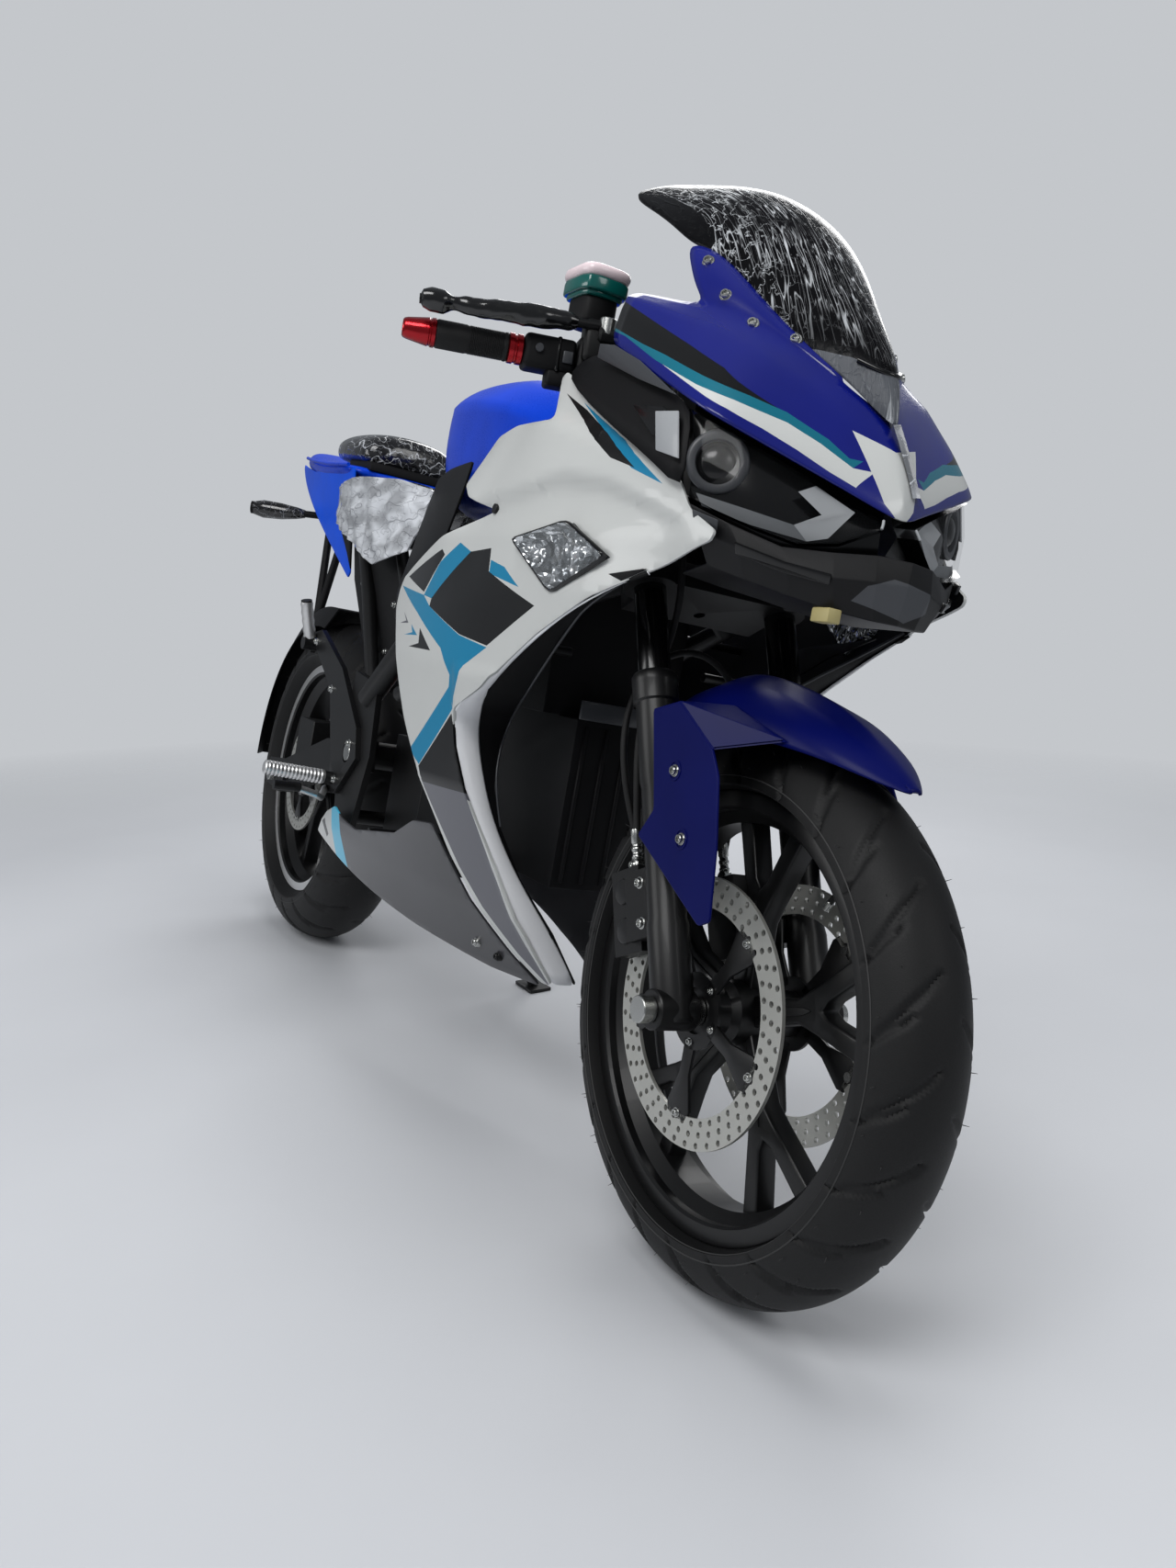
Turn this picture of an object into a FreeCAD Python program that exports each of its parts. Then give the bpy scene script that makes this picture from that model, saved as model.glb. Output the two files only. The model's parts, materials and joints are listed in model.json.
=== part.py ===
"""Sport bike with full fairing, parked on its side stand.

Everything is modelled in the bike's own upright frame: +X forwards, +Y to the
rider's left, +Z up, origin under the rear axle at the tread. The whole bike is
then leaned onto its side stand and set down on the floor, so that the row's
origin is the bottom centre of its box. Lengths are millimetres, angles degrees.
"""
import FreeCAD
import Part
import os
from math import sin, cos, tan, radians, pi, sqrt, atan2, degrees

V = FreeCAD.Vector

# Stance
WHEELBASE = 1449.0
LEAN = 11.5
RAKE = 24.0
CLAMP_OFFSET = 35.0

# Tyres and rims, as printed sizes 110/70-17 and 150/70-17 give them
FRONT_TYRE_R = 293.0
FRONT_TYRE_HALF = 55.0
REAR_TYRE_R = 323.0
REAR_TYRE_HALF = 74.0
RIM_FLANGE_R = 232.0
RIM_SEAT_R = 218.0
RIM_WALL = 6.0
FRONT_FLANGE_Y = 41.5
REAR_FLANGE_Y = 52.5
SPOKES = 5
FRONT_AXLE_R = 8.5
REAR_AXLE_R = 9.0
RUNNING_FIT = 0.05
SEAT_GAP = 0.3
WHEEL_GAP = 6.0

# Brakes
DISC_T = 4.0
FRONT_DISC_R = 140.0
FRONT_DISC_Y = 62.7
REAR_DISC_R = 110.0
REAR_DISC_Y = 64.0
CALIPER_LOW = 70.0
CALIPER_HIGH = 165.0

# Fork
FORK_Y = 93.0
STANCHION_R = 18.5
SLIDER_R = 22.5
SLIDER_TOP = 366.0
LOWER_CLAMP = 470.0
UPPER_CLAMP = 705.0
CLAMP_T = 30.0
STEM_R = 13.0
STEM_BORE_R = 7.0
STEM_BORE = 55.0

# Frame and swing arm
PIVOT_X = 470.0
PIVOT_Z = 425.0
SHOCK_BAR = (598, 606)
TANK_BAR = V(880, 0, 777.7)
PIVOT_R = 10.0
ARM_Y = 112.0
ARM_HALF = 14.0
PLATE_T = 10.0
SPOOL = V(75, ARM_Y + ARM_HALF + 6, 326)
SPOOL_R = 4.0
SPOOL_DEPTH = 18.0
PLATE_Y = ARM_Y + ARM_HALF + SEAT_GAP
SPAR_R = 19.0
DOWN_TUBE_R = 13.0
BATTERY_HALF = 98.0

# Bars
GRIP_R = 16.5
BAR_R = 11.0
BAR_REACH = V(-81.0, -268.5, -11.2)
CLIP_H = 30.0
FORK_TOP = UPPER_CLAMP + CLAMP_T + CLIP_H + 7.0
CAP_LENGTH = 38.0
CAP_TIP_R = 11.5
GRIP_LENGTH = 84.0
RING_LENGTH = 17.0
LEVER_R = 6.5
SWITCH_R = 21.0
CUP_SEAT = V(-35.5, -57, 71.3)
CUP_SIZE = V(76, 64, 36)
CUP_ROUND = 14.0

# Brake hoses: places along the fork, as (up the fork, y, ahead of the fork)
HOSE_R = 4.0
FEED_HOSE = [(714, -72, 41), (676, -73, 43), (640, -71, 41), (590, -73, 42), (540, -71, 41), (490, -73, 38),
             (448, -70, 24), (415, -66, -4), (384, -69, -30), (345, -76, -50), (300, -80, -61),
             (255, -78, -69), (222, -74, -78), (195, -73, -82), (165, -73, -82)]
CROSS_HOSE = [(165, -60, -98), (195, -60, -98), (225, -68, -96), (262, -79, -90), (304, -86, -82),
              (346, -84, -73), (385, -70, -62), (413, -46, -53), (426, -15, -48)]

# Front mudguard's sections round the axle: forward angle, edge, flank and shoulder (y, r), crest r
HOOD = [
    (-40, (-66, 300), (-68, 312), (-50, 322), 326),
    (-23, (-67, 298), (-69, 322), (-44, 350), 366),
    (-9, (-67, 298), (-69, 319), (-41, 343), 362),
    (5, (-66, 300), (-65, 315), (-37, 334), 343),
    (15, (-62, 303), (-59, 314), (-32, 328), 333),
    (24, (-50, 307), (-46, 314), (-25, 323), 327),
    (31, (-24, 312), (-21, 315), (-12, 320), 322.5),
]

# Its leg guards and the shelves that carry them, in side view from the front axle
GUARD = [(-100, 305), (-77, 212), (-88, 162), (48, 101), (63, 107), (51, 177), (33, 247), (13, 289),
         (-24, 309)]
SHELF = [(-97, 310), (-24, 308), (9, 288)]

# Side stand: pivot and foot, and the way the leg points once folded
STAND_PIVOT = V(480, 116, 262)
STAND_FOOT = V(528, 252, 0)
STAND_FOLDED = V(-240, 58, -66)
STAND_PIN_R = 7.0
STAND_EYE_T = 14.0

# Rear brake pedal, from its pivot on the right hanger to its pad
PEDAL = [V(404, -150, 352), V(440, -166, 340), V(500, -196, 352), V(514, -236, 362)]
PEDAL_R = 5.0

# Final drive on the left side
CHAIN_Y = 84.0
CHAIN_W = 7.0
CHAIN_T = 9.0
CHAIN_GAP = 1.0
SPROCKET_T = 6.0
SPROCKET_R = 84.0
DRIVE_R = 30.0
DRIVE_AXIS = V(560, 0, 335)
MOTOR_HALF = 74.0
BATTERY_REAR = 650.0

# Bodywork
WALL = 3.0
PEG_R = 6.0

# Side-view outlines of the panels, (x, z)
OUTLINES = {
    "side_fairing": [(1480, 766), (1440, 790), (1405, 830), (1350, 865), (1150, 950), (1080, 924),
                     (1010, 895), (900, 858), (815, 770), (770, 700), (800, 600), (905, 480),
                     (960, 400), (1010, 310), (1085, 214), (1116, 220), (1088, 343), (1055, 420), (1030, 480), (1030, 545), (1089, 577),
                     (1210, 650), (1313, 694), (1408, 738)],
    "belly_pan": [(1082, 212), (1050, 243), (1003, 305), (950, 392), (820, 350), (640, 318), (500, 330),
                  (375, 272), (470, 267), (685, 240), (822, 223), (930, 216), (1000, 211)],
    "inner_fairing": [(1395, 728), (1300, 690), (1200, 646), (1080, 572), (1022, 545), (1022, 480),
                      (1046, 420), (1080, 343), (1090, 300), (1040, 300), (985, 420), (960, 520),
                      (1000, 600), (1150, 690)],
}
TAIL_FLANK = [(-312, 974), (-120, 940), (50, 930), (172, 928), (172, 735), (160, 726), (50, 782), (-120, 868),
              (-312, 966)]
TAIL_FLANK_LEVELS = [
    (724, (-310, -70), (-80, -84), (172, -92)),
    (980, (-310, -78), (-120, -110), (172, -122)),
]
TURN_LAMP = [(1275, 770), (1342, 735), (1300, 682), (1218, 718)]
TURN_LAMP_BODY = [(1275.2, 769.4), (1341.3, 734.9), (1299.8, 682.7), (1219, 718.2)]

# The side skin's levels: (z, (x, y) rear, (x, y) middle, (x, y) front)
SKIN = [
    (200, (340, -125), (800, -118), (1130, -30)),
    (300, (340, -140), (800, -160), (1180, -95)),
    (450, (500, -165), (900, -212), (1250, -150)),
    (600, (650, -190), (1050, -228), (1350, -175)),
    (760, (700, -195), (1100, -235), (1490, -165)),
    (960, (750, -120), (1100, -195), (1400, -165)),
]

# Nose pieces: distance ahead of the front axle, then the outer line's (y, z) from right to left
NOSE_COWL = [
    (-202, [(-195, 975), (-182, 1028), (-118, 1072), (-60, 1100), (60, 1100), (118, 1072), (182, 1028),
            (195, 975)]),
    (-109, [(-188, 928), (-170, 985), (-95, 1022), (-30, 1040), (30, 1040), (95, 1022), (170, 985),
            (188, 928)]),
    (2, [(-180, 878), (-140, 912), (-62, 938), (-20, 944), (20, 944), (62, 938), (140, 912), (180, 878)]),
    (60, [(-74, 834), (-55, 858), (-30, 878), (-10, 886), (10, 886), (30, 878), (55, 858), (74, 834)]),
    (96, [(-6, 808), (-4, 809), (-3, 810), (-1, 811), (1, 811), (3, 810), (4, 809), (6, 808)]),
]
SCREEN = [
    (-339, [(-140, 1172), (-80, 1192), (0, 1206), (80, 1192), (140, 1172)]),
    (-198, [(-128, 1096), (-80, 1160), (0, 1190), (80, 1160), (128, 1096)]),
    (-104, [(-100, 1030), (-60, 1085), (0, 1112), (60, 1085), (100, 1030)]),
    (-10, [(-66, 948), (-40, 990), (0, 1012), (40, 990), (66, 948)]),
    (56, [(-14, 893), (-8, 899), (0, 902), (8, 899), (14, 893)]),
]
CHIN = [
    (-69, [(-150, 760), (-100, 728), (0, 715), (100, 728), (150, 760)]),
    (21, [(-120, 758), (-70, 730), (0, 716), (70, 730), (120, 758)]),
    (111, [(-30, 758), (-20, 745), (0, 735), (20, 745), (30, 758)]),
]
# Headlight: side view (ahead, z), top view (ahead, distance from the middle)
LAMP = [(-69, 780), (-49, 880), (1, 868), (51, 828), (81, 798), (66, 768)]
LAMP_WEDGE = [(-69, 170), (1, 170), (91, 20), (-69, 20)]
LAMP_IN = 20.0
LAMP_OUT = 170.0

REAR_AXLE = V(0, 0, REAR_TYRE_R)
lean_drop = REAR_TYRE_HALF * (1 - cos(radians(LEAN)))
front_axle_z = (FRONT_TYRE_R - FRONT_TYRE_HALF
                + (FRONT_TYRE_HALF - lean_drop) / cos(radians(LEAN)))
FRONT_AXLE = V(WHEELBASE, 0, front_axle_z)
STEER_DIR = V(-sin(radians(RAKE)), 0, cos(radians(RAKE)))
STEER_FWD = V(cos(radians(RAKE)), 0, sin(radians(RAKE)))
STEER_BASE = FRONT_AXLE - STEER_FWD * CLAMP_OFFSET

nodes = {}


def floor_height(y):
    """The floor's height in the upright frame, at a distance y to the left."""
    return (y * sin(radians(LEAN)) - lean_drop) / cos(radians(LEAN))


def fork_point(along, y=0.0, ahead=0.0):
    """A point at a height along the fork, measured up the slant from the axle."""
    return FRONT_AXLE + STEER_DIR * along + STEER_FWD * ahead + V(0, y, 0)


def along_bar(distance):
    """A point on the right bar's axis, measured from the fork tube."""
    return BAR_ROOT + BAR_WAY * distance


BAR_ROOT = fork_point(UPPER_CLAMP + CLAMP_T + 16, -FORK_Y)
BAR_WAY = BAR_REACH * (1 / BAR_REACH.Length)
CUP_CENTRE = BAR_ROOT + CUP_SEAT
MASTER_OFFSET = V(34, 0, 27)
MASTER_WAY = BAR_WAY * -1
MASTER_END = along_bar(30) + MASTER_OFFSET
HOOD_FLANK = -HOOD[1][2][0] - WALL / 2
STAND_DOWN = STAND_FOOT + V(0, 0, floor_height(STAND_FOOT.y)) - STAND_PIVOT
STAND_AXIS = STAND_DOWN.cross(STAND_FOLDED)
STAND_AXIS.normalize()


def add(name, *shapes):
    """Keeps the solids of one node, as a compound where there are several."""
    solids = [solid for shape in shapes for solid in shape.Solids]
    nodes[name] = solids[0] if len(solids) == 1 else Part.makeCompound(solids)


def fused(*shapes):
    """One shape from pieces that overlap or touch."""
    result = shapes[0]
    for shape in shapes[1:]:
        result = result.fuse(shape)
    return result.removeSplitter()


def mirrored(shape):
    """The left-hand twin of a right-hand piece."""
    return shape.mirror(V(0, 0, 0), V(0, 1, 0))


def add_pair(name, shape):
    """One node from a right-hand piece and its left-hand twin."""
    add(name, shape, mirrored(shape))


def rod(start, end, radius):
    """A round bar between two points."""
    axis = end - start
    return Part.makeCylinder(radius, axis.Length, start, axis)


def pipe(points, radius):
    """A bent round tube: straight runs with a ball of the same radius at each bend."""
    pieces = [rod(a, b, radius) for a, b in zip(points, points[1:])]
    pieces += [Part.makeSphere(radius, point) for point in points[1:-1]]
    return fused(*pieces)


def block(x0, x1, y0, y1, z0, z1):
    """A square block between two corners."""
    return Part.makeBox(x1 - x0, y1 - y0, z1 - z0, V(x0, y0, z0))


def face_of(points):
    """A flat face from its corner points."""
    return Part.Face(Part.makePolygon(list(points) + [points[0]]))


def side_prism(outline, y0, y1):
    """A side-view outline of (x, z) points, carried across from y0 to y1."""
    return face_of([V(x, y0, z) for x, z in outline]).extrude(V(0, y1 - y0, 0))


def turned(profile, centre):
    """A ring from a (y, r) profile spun about the wheel axis through centre."""
    face = face_of([V(0, y, r) for y, r in profile])
    ring = face.revolve(V(0, 0, 0), V(0, 1, 0), 360)
    ring.translate(centre)
    return ring


def fork_box(along0, along1, ahead0, ahead1, y0, y1):
    """A block square to the fork's slant."""
    box = Part.makeBox(ahead1 - ahead0, y1 - y0, along1 - along0, V(ahead0, y0, along0))
    box.rotate(V(0, 0, 0), V(0, 1, 0), -RAKE)
    box.translate(FRONT_AXLE)
    return box


def strip_loft(stations, wall, ruled=True):
    """A thin panel through cross-sections.

    Each station is (x, [(y, z), ...]) with the outer line's points from the
    right edge to the left. The inner line lies one wall below it.
    """
    wires = []
    for x, line in stations:
        inner = []
        for index, (y, z) in enumerate(line):
            before = line[max(index - 1, 0)]
            after = line[min(index + 1, len(line) - 1)]
            run = V(0, after[0] - before[0], after[1] - before[1])
            run.normalize()
            inner.append((y + run.z * wall, z - run.y * wall))
        ring = [V(x, y, z) for y, z in line] + [V(x, y, z) for y, z in reversed(inner)]
        wires.append(Part.makePolygon(ring + [ring[0]]))
    return Part.makeLoft(wires, True, ruled)


def arc_skin(levels, wall, offset=0.0):
    """A curved side skin through level arcs.

    Each level is (z, (x, y) rear, (x, y) middle, (x, y) front). The arc bulges
    to the right, and the inner face lies one wall inside it.
    """
    wires = []
    for z, rear, middle, front in levels:
        outer = [V(x, y + offset, z) for x, y in (rear, middle, front)]
        inner = [V(x, y + offset + wall, z) for x, y in (rear, middle, front)]
        wires.append(Part.Wire([
            Part.Arc(*outer).toShape(),
            Part.makeLine(outer[2], inner[2]),
            Part.Arc(inner[2], inner[1], inner[0]).toShape(),
            Part.makeLine(inner[0], outer[0]),
        ]))
    return Part.makeLoft(wires, True, True)


def tyre(radius, half, flange_y, centre):
    """A tyre ring: round crown, side walls drawn in to the rim flanges."""
    crown = radius - half
    bead = RIM_SEAT_R
    flange = RIM_FLANGE_R
    top = V(0, 0, radius)
    left = V(0, half, crown)
    right = V(0, -half, crown)
    shoulder = sin(radians(45)) * half
    edges = [
        Part.Arc(right, V(0, -shoulder, crown + shoulder), top).toShape(),
        Part.Arc(top, V(0, shoulder, crown + shoulder), left).toShape(),
        Part.makeLine(left, V(0, flange_y + 1.0, flange + 1.0)),
        Part.makeLine(V(0, flange_y + 1.0, flange + 1.0), V(0, flange_y - 4.0, flange + 1.0)),
        Part.makeLine(V(0, flange_y - 4.0, flange + 1.0), V(0, flange_y - 4.0, bead)),
        Part.makeLine(V(0, flange_y - 4.0, bead), V(0, 4.0 - flange_y, bead)),
        Part.makeLine(V(0, 4.0 - flange_y, bead), V(0, 4.0 - flange_y, flange + 1.0)),
        Part.makeLine(V(0, 4.0 - flange_y, flange + 1.0), V(0, -flange_y - 1.0, flange + 1.0)),
        Part.makeLine(V(0, -flange_y - 1.0, flange + 1.0), right),
    ]
    ring = Part.Face(Part.Wire(edges)).revolve(V(0, 0, 0), V(0, 1, 0), 360)
    ring.translate(centre)
    return ring


def rim(flange_y, hub_right, hub_left, hub_r, bore_r, centre):
    """A cast rim: barrel with a flange each side, hub, and forked spokes."""
    barrel_r = RIM_SEAT_R
    lip = 4.0
    barrel = turned([
        (-flange_y, RIM_FLANGE_R), (lip - flange_y, RIM_FLANGE_R), (lip - flange_y, barrel_r),
        (flange_y - lip, barrel_r), (flange_y - lip, RIM_FLANGE_R), (flange_y, RIM_FLANGE_R),
        (flange_y, barrel_r - RIM_WALL), (0.6 * flange_y, barrel_r - RIM_WALL),
        (0.35 * flange_y, barrel_r - 3 * RIM_WALL), (-0.35 * flange_y, barrel_r - 3 * RIM_WALL),
        (-0.6 * flange_y, barrel_r - RIM_WALL), (-flange_y, barrel_r - RIM_WALL)], V(0, 0, 0))
    hub = Part.makeCylinder(hub_r, hub_right + hub_left, V(0, -hub_right, 0), V(0, 1, 0))
    spoke_half = 0.30 * flange_y
    fork_r = 0.52 * barrel_r
    reach = barrel_r - 2 * RIM_WALL
    spokes = []
    for index in range(SPOKES):
        leg = side_prism([(-15, 0.5 * hub_r), (15, 0.5 * hub_r), (13, fork_r + 14), (-13, fork_r + 14)],
                         -spoke_half, spoke_half)
        arms = [side_prism([(-side * 4, fork_r - 12), (side * 14, fork_r - 4),
                            (side * 54, reach - 4), (side * 34, reach + 3)],
                           -spoke_half, spoke_half) for side in (1, -1)]
        spoke = fused(leg, *arms)
        spoke.rotate(V(0, 0, 0), V(0, 1, 0), index * 360.0 / SPOKES)
        spokes.append(spoke)
    wheel = fused(barrel, hub, *spokes)
    wheel = wheel.cut(Part.makeCylinder(bore_r, 400, V(0, -200, 0), V(0, 1, 0)))
    wheel.translate(centre)
    return wheel


def disc(radius, y, hub_r, centre):
    """A brake disc: friction ring on a spider with five arms."""
    inner = 0.73 * radius
    half = DISC_T / 2
    ring, web = [turned([(-half, low), (half, low), (half, high), (-half, high)], V(0, 0, 0))
                 for low, high in ((inner, radius), (hub_r, hub_r + 14))]
    arms = []
    for index in range(SPOKES):
        arm = side_prism([(-11, hub_r + 4), (11, hub_r + 4), (16, inner + 6), (-16, inner + 6)],
                         -DISC_T / 2, DISC_T / 2)
        arm.rotate(V(0, 0, 0), V(0, 1, 0), (index + 0.5) * 360.0 / SPOKES)
        arms.append(arm)
    plate = fused(ring, web, *arms)
    plate.translate(centre + V(0, y, 0))
    return plate


def build_front_wheel():
    """Tyre, rim and the two brake discs, free on the front axle."""
    hub_half = FRONT_DISC_Y - DISC_T / 2
    add("front_tyre", tyre(FRONT_TYRE_R, FRONT_TYRE_HALF, FRONT_FLANGE_Y, FRONT_AXLE))
    add("front_rim", rim(FRONT_FLANGE_Y, hub_half, hub_half, 34.0, FRONT_AXLE_R + RUNNING_FIT, FRONT_AXLE))
    add_pair("front_discs", disc(FRONT_DISC_R, -FRONT_DISC_Y, 24.0, FRONT_AXLE))


def build_rear_wheel():
    """Tyre, rim, brake disc on the right and sprocket on the left."""
    hub_right = REAR_DISC_Y - DISC_T / 2
    hub_left = CHAIN_Y - SPROCKET_T / 2
    add("rear_tyre", tyre(REAR_TYRE_R, REAR_TYRE_HALF, REAR_FLANGE_Y, REAR_AXLE))
    add("rear_rim", rim(REAR_FLANGE_Y, hub_right, hub_left, 40.0, REAR_AXLE_R + RUNNING_FIT, REAR_AXLE))
    add("rear_disc", disc(REAR_DISC_R, -REAR_DISC_Y, 26.0, REAR_AXLE))
    half = SPROCKET_T / 2
    sprocket = turned([(-half, 26), (half, 26), (half, SPROCKET_R), (-half, SPROCKET_R)], V(0, 0, 0))
    holes = [Part.makeCylinder(16, 20, V(55 * sin(k * pi / 3), -10, 55 * cos(k * pi / 3)), V(0, 1, 0))
             for k in range(6)]
    sprocket = sprocket.cut(Part.makeCompound(holes))
    sprocket.translate(REAR_AXLE + V(0, CHAIN_Y, 0))
    add("rear_sprocket", sprocket)


def build_drive():
    """Motor block with its drive sprocket, and the chain round both."""
    motor = block(508, BATTERY_REAR - SEAT_GAP, -MOTOR_HALF, MOTOR_HALF, 262, 470)
    shaft = rod(V(DRIVE_AXIS.x, 0, DRIVE_AXIS.z), V(DRIVE_AXIS.x, CHAIN_Y + 4, DRIVE_AXIS.z), DRIVE_R)
    add("motor", fused(motor, shaft))
    loop = Part.Face(chain_loop(CHAIN_T)).cut(Part.Face(chain_loop(0)))
    add("drive_chain", loop.extrude(V(0, CHAIN_W, 0)))


def chain_loop(grow):
    """The flat loop outline round both sprockets, grown outwards."""
    span = DRIVE_AXIS - REAR_AXLE
    distance = span.Length
    big = SPROCKET_R + CHAIN_GAP + grow
    small = DRIVE_R + CHAIN_GAP + grow
    slope = atan2(span.z, span.x)
    wrap = (pi / 2) - atan2(big - small, sqrt(distance ** 2 - (big - small) ** 2))

    def at(centre, radius, angle):
        return V(centre.x + radius * cos(angle), CHAIN_Y - CHAIN_W / 2, centre.z + radius * sin(angle))

    return Part.Wire([
        Part.Arc(at(REAR_AXLE, big, slope + wrap), at(REAR_AXLE, big, slope + pi),
                 at(REAR_AXLE, big, slope - wrap)).toShape(),
        Part.makeLine(at(REAR_AXLE, big, slope - wrap), at(DRIVE_AXIS, small, slope - wrap)),
        Part.Arc(at(DRIVE_AXIS, small, slope - wrap), at(DRIVE_AXIS, small, slope),
                 at(DRIVE_AXIS, small, slope + wrap)).toShape(),
        Part.makeLine(at(DRIVE_AXIS, small, slope + wrap), at(REAR_AXLE, big, slope + wrap)),
    ])


def build_steering():
    """Everything that turns with the bars."""
    stem_base = fork_point(LOWER_CLAMP, 0, -CLAMP_OFFSET)
    stem_top = fork_point(UPPER_CLAMP + CLAMP_T, 0, -CLAMP_OFFSET)
    clamps = []
    for along in (LOWER_CLAMP, UPPER_CLAMP):
        plate = fork_box(along, along + CLAMP_T, -CLAMP_OFFSET - 26, 24, -FORK_Y, FORK_Y)
        ends = [rod(fork_point(along, y), fork_point(along + CLAMP_T, y), STANCHION_R + 12)
                for y in (-FORK_Y, FORK_Y)]
        clamps.append(fused(plate, *ends))
    stem = rod(stem_base, stem_top, STEM_R)
    yoke = fused(clamps[0], clamps[1], stem)
    for y in (-FORK_Y, FORK_Y):
        bore = rod(fork_point(LOWER_CLAMP - 5, y), fork_point(FORK_TOP + 50, y), STANCHION_R + RUNNING_FIT)
        yoke = yoke.cut(bore)
    yoke = yoke.cut(rod(stem_base - STEER_DIR, stem_base + STEER_DIR * STEM_BORE, STEM_BORE_R))
    add("fork_clamps", yoke)

    for side, sign in (("right", -1), ("left", 1)):
        y = sign * FORK_Y
        slider = fused(
            rod(fork_point(-14, y), fork_point(SLIDER_TOP, y), SLIDER_R),
            rod(fork_point(SLIDER_TOP - 12, y), fork_point(SLIDER_TOP, y), SLIDER_R + 3.5),
            rod(FRONT_AXLE + V(0, sign * 71, 0), FRONT_AXLE + V(0, sign * 120, 0), 21.0),
            rod(fork_point(SLIDER_TOP, y), fork_point(FORK_TOP, y), STANCHION_R))
        slider = slider.cut(rod(FRONT_AXLE + V(0, sign * 60, 0), FRONT_AXLE + V(0, sign * 140, 0),
                             FRONT_AXLE_R + RUNNING_FIT))
        add("fork_leg_" + side, slider)

    spacer = FORK_Y - SLIDER_R - SEAT_GAP
    spacer_in = FRONT_DISC_Y - DISC_T / 2 + SEAT_GAP
    axle = fused(
        rod(FRONT_AXLE + V(0, -124, 0), FRONT_AXLE + V(0, 124, 0), FRONT_AXLE_R),
        rod(FRONT_AXLE + V(0, -136, 0), FRONT_AXLE + V(0, -120, 0), 14.0),
        rod(FRONT_AXLE + V(0, 120, 0), FRONT_AXLE + V(0, 132, 0), 14.0),
        rod(FRONT_AXLE + V(0, -spacer, 0), FRONT_AXLE + V(0, -spacer_in, 0), 15.0),
        rod(FRONT_AXLE + V(0, spacer_in, 0), FRONT_AXLE + V(0, spacer, 0), 15.0))
    add("front_axle", axle)
    build_calipers()
    build_fender()
    build_bars()
    build_hoses()


def build_calipers():
    """Calipers behind the legs, slotted over the discs."""
    body = fork_box(CALIPER_LOW, CALIPER_HIGH, -112, -58, 4 - FORK_Y, 22 - FRONT_DISC_Y)
    lug = fork_box(CALIPER_LOW + 10, CALIPER_HIGH - 10, -70, -12, -FORK_Y - 6, -74)
    slot = turned([(-6, 60), (6, 60), (6, FRONT_DISC_R + WHEEL_GAP), (-6, FRONT_DISC_R + WHEEL_GAP)],
                  FRONT_AXLE + V(0, -FRONT_DISC_Y, 0))
    caliper = fused(body, lug).cut(slot)
    caliper = caliper.cut(rod(fork_point(-14, -FORK_Y), fork_point(SLIDER_TOP, -FORK_Y), SLIDER_R))
    caliper = caliper.cut(turned([(-45, 200), (45, 200), (45, 240), (-45, 240)], FRONT_AXLE))
    add_pair("front_calipers", max(caliper.Solids, key=lambda solid: solid.Volume))


def build_fender():
    """Front mudguard: a hood over the tyre and a guard outside each fork leg."""
    wires = []
    for angle, edge, flank, shoulder, crest in HOOD:
        line = [edge, flank, shoulder, (0, crest)]
        line += [(-y, r) for y, r in reversed(line[:3])]
        inner = [(y - WALL * (y > 0) + WALL * (y < 0), r - (0 if r == edge[1] else WALL)) for y, r in line]
        turn = radians(angle)
        ring = [FRONT_AXLE + V(sin(turn) * r, y, cos(turn) * r) for y, r in line + inner[::-1]]
        wires.append(Part.makePolygon(ring + [ring[0]]))
    hood = Part.makeLoft(wires, True, True)
    guard_y = FORK_Y + SLIDER_R + SEAT_GAP
    shelf = SHELF + [(x, z - WALL) for x, z in reversed(SHELF)]
    pieces = [hood]
    for sign in (-1, 1):
        for outline, reach in ((GUARD, guard_y), (shelf, HOOD_FLANK)):
            piece = side_prism(outline, *sorted((sign * reach, sign * (guard_y + WALL))))
            piece.translate(FRONT_AXLE)
            pieces.append(piece)
    add("front_fender", fused(*pieces).cut(wheel_room()))


def wheel_room():
    """The space round the front tyre that the mudguard keeps free."""
    half = FRONT_TYRE_HALF + WHEEL_GAP + 2
    radius = FRONT_TYRE_R + WHEEL_GAP
    return turned([(-half, 0), (half, 0), (half, radius - half / 2), (half / 2, radius), (-half / 2, radius),
                   (-half, radius - half / 2)], FRONT_AXLE)


def hose(route):
    """A hose: straight runs joined by arcs as large as the runs allow."""
    edges = []
    at = route[0]
    for before, corner, after in zip(route, route[1:], route[2:]):
        inward = corner - before
        onward = after - corner
        turn = inward.getAngle(onward)
        trim = 0.45 * min(inward.Length, onward.Length)
        start = corner - inward.normalize() * trim
        end = corner + onward.normalize() * trim
        bulge = (onward - inward).normalize()
        radius = trim / tan(turn / 2)
        middle = corner + bulge * (radius / cos(turn / 2) - radius)
        edges += [Part.makeLine(at, start), Part.Arc(start, middle, end).toShape()]
        print("hose radius", round(radius, 1))
        at = end
    edges.append(Part.makeLine(at, route[-1]))
    path = Part.Wire(edges)
    ring = Part.Wire(Part.makeCircle(HOSE_R, route[0], route[1] - route[0]))
    tube = path.makePipeShell([ring], True, False)
    print("hose volume", round(tube.Volume), "expected", round(pi * HOSE_R ** 2 * path.Length))
    return tube


def build_hoses():
    """The feed hose from the bar to the right caliper, and the one across to the left."""
    start = MASTER_END
    feed = [start, start + MASTER_WAY * 24, start + MASTER_WAY * 42 + V(4, 0, -8)]
    feed += [fork_point(*place) for place in FEED_HOSE]
    cross = [fork_point(*place) for place in CROSS_HOSE]
    cross += [V(point.x, -point.y, point.z) for point in reversed(cross)]
    add("brake_hoses", hose(feed), hose(cross))


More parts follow.
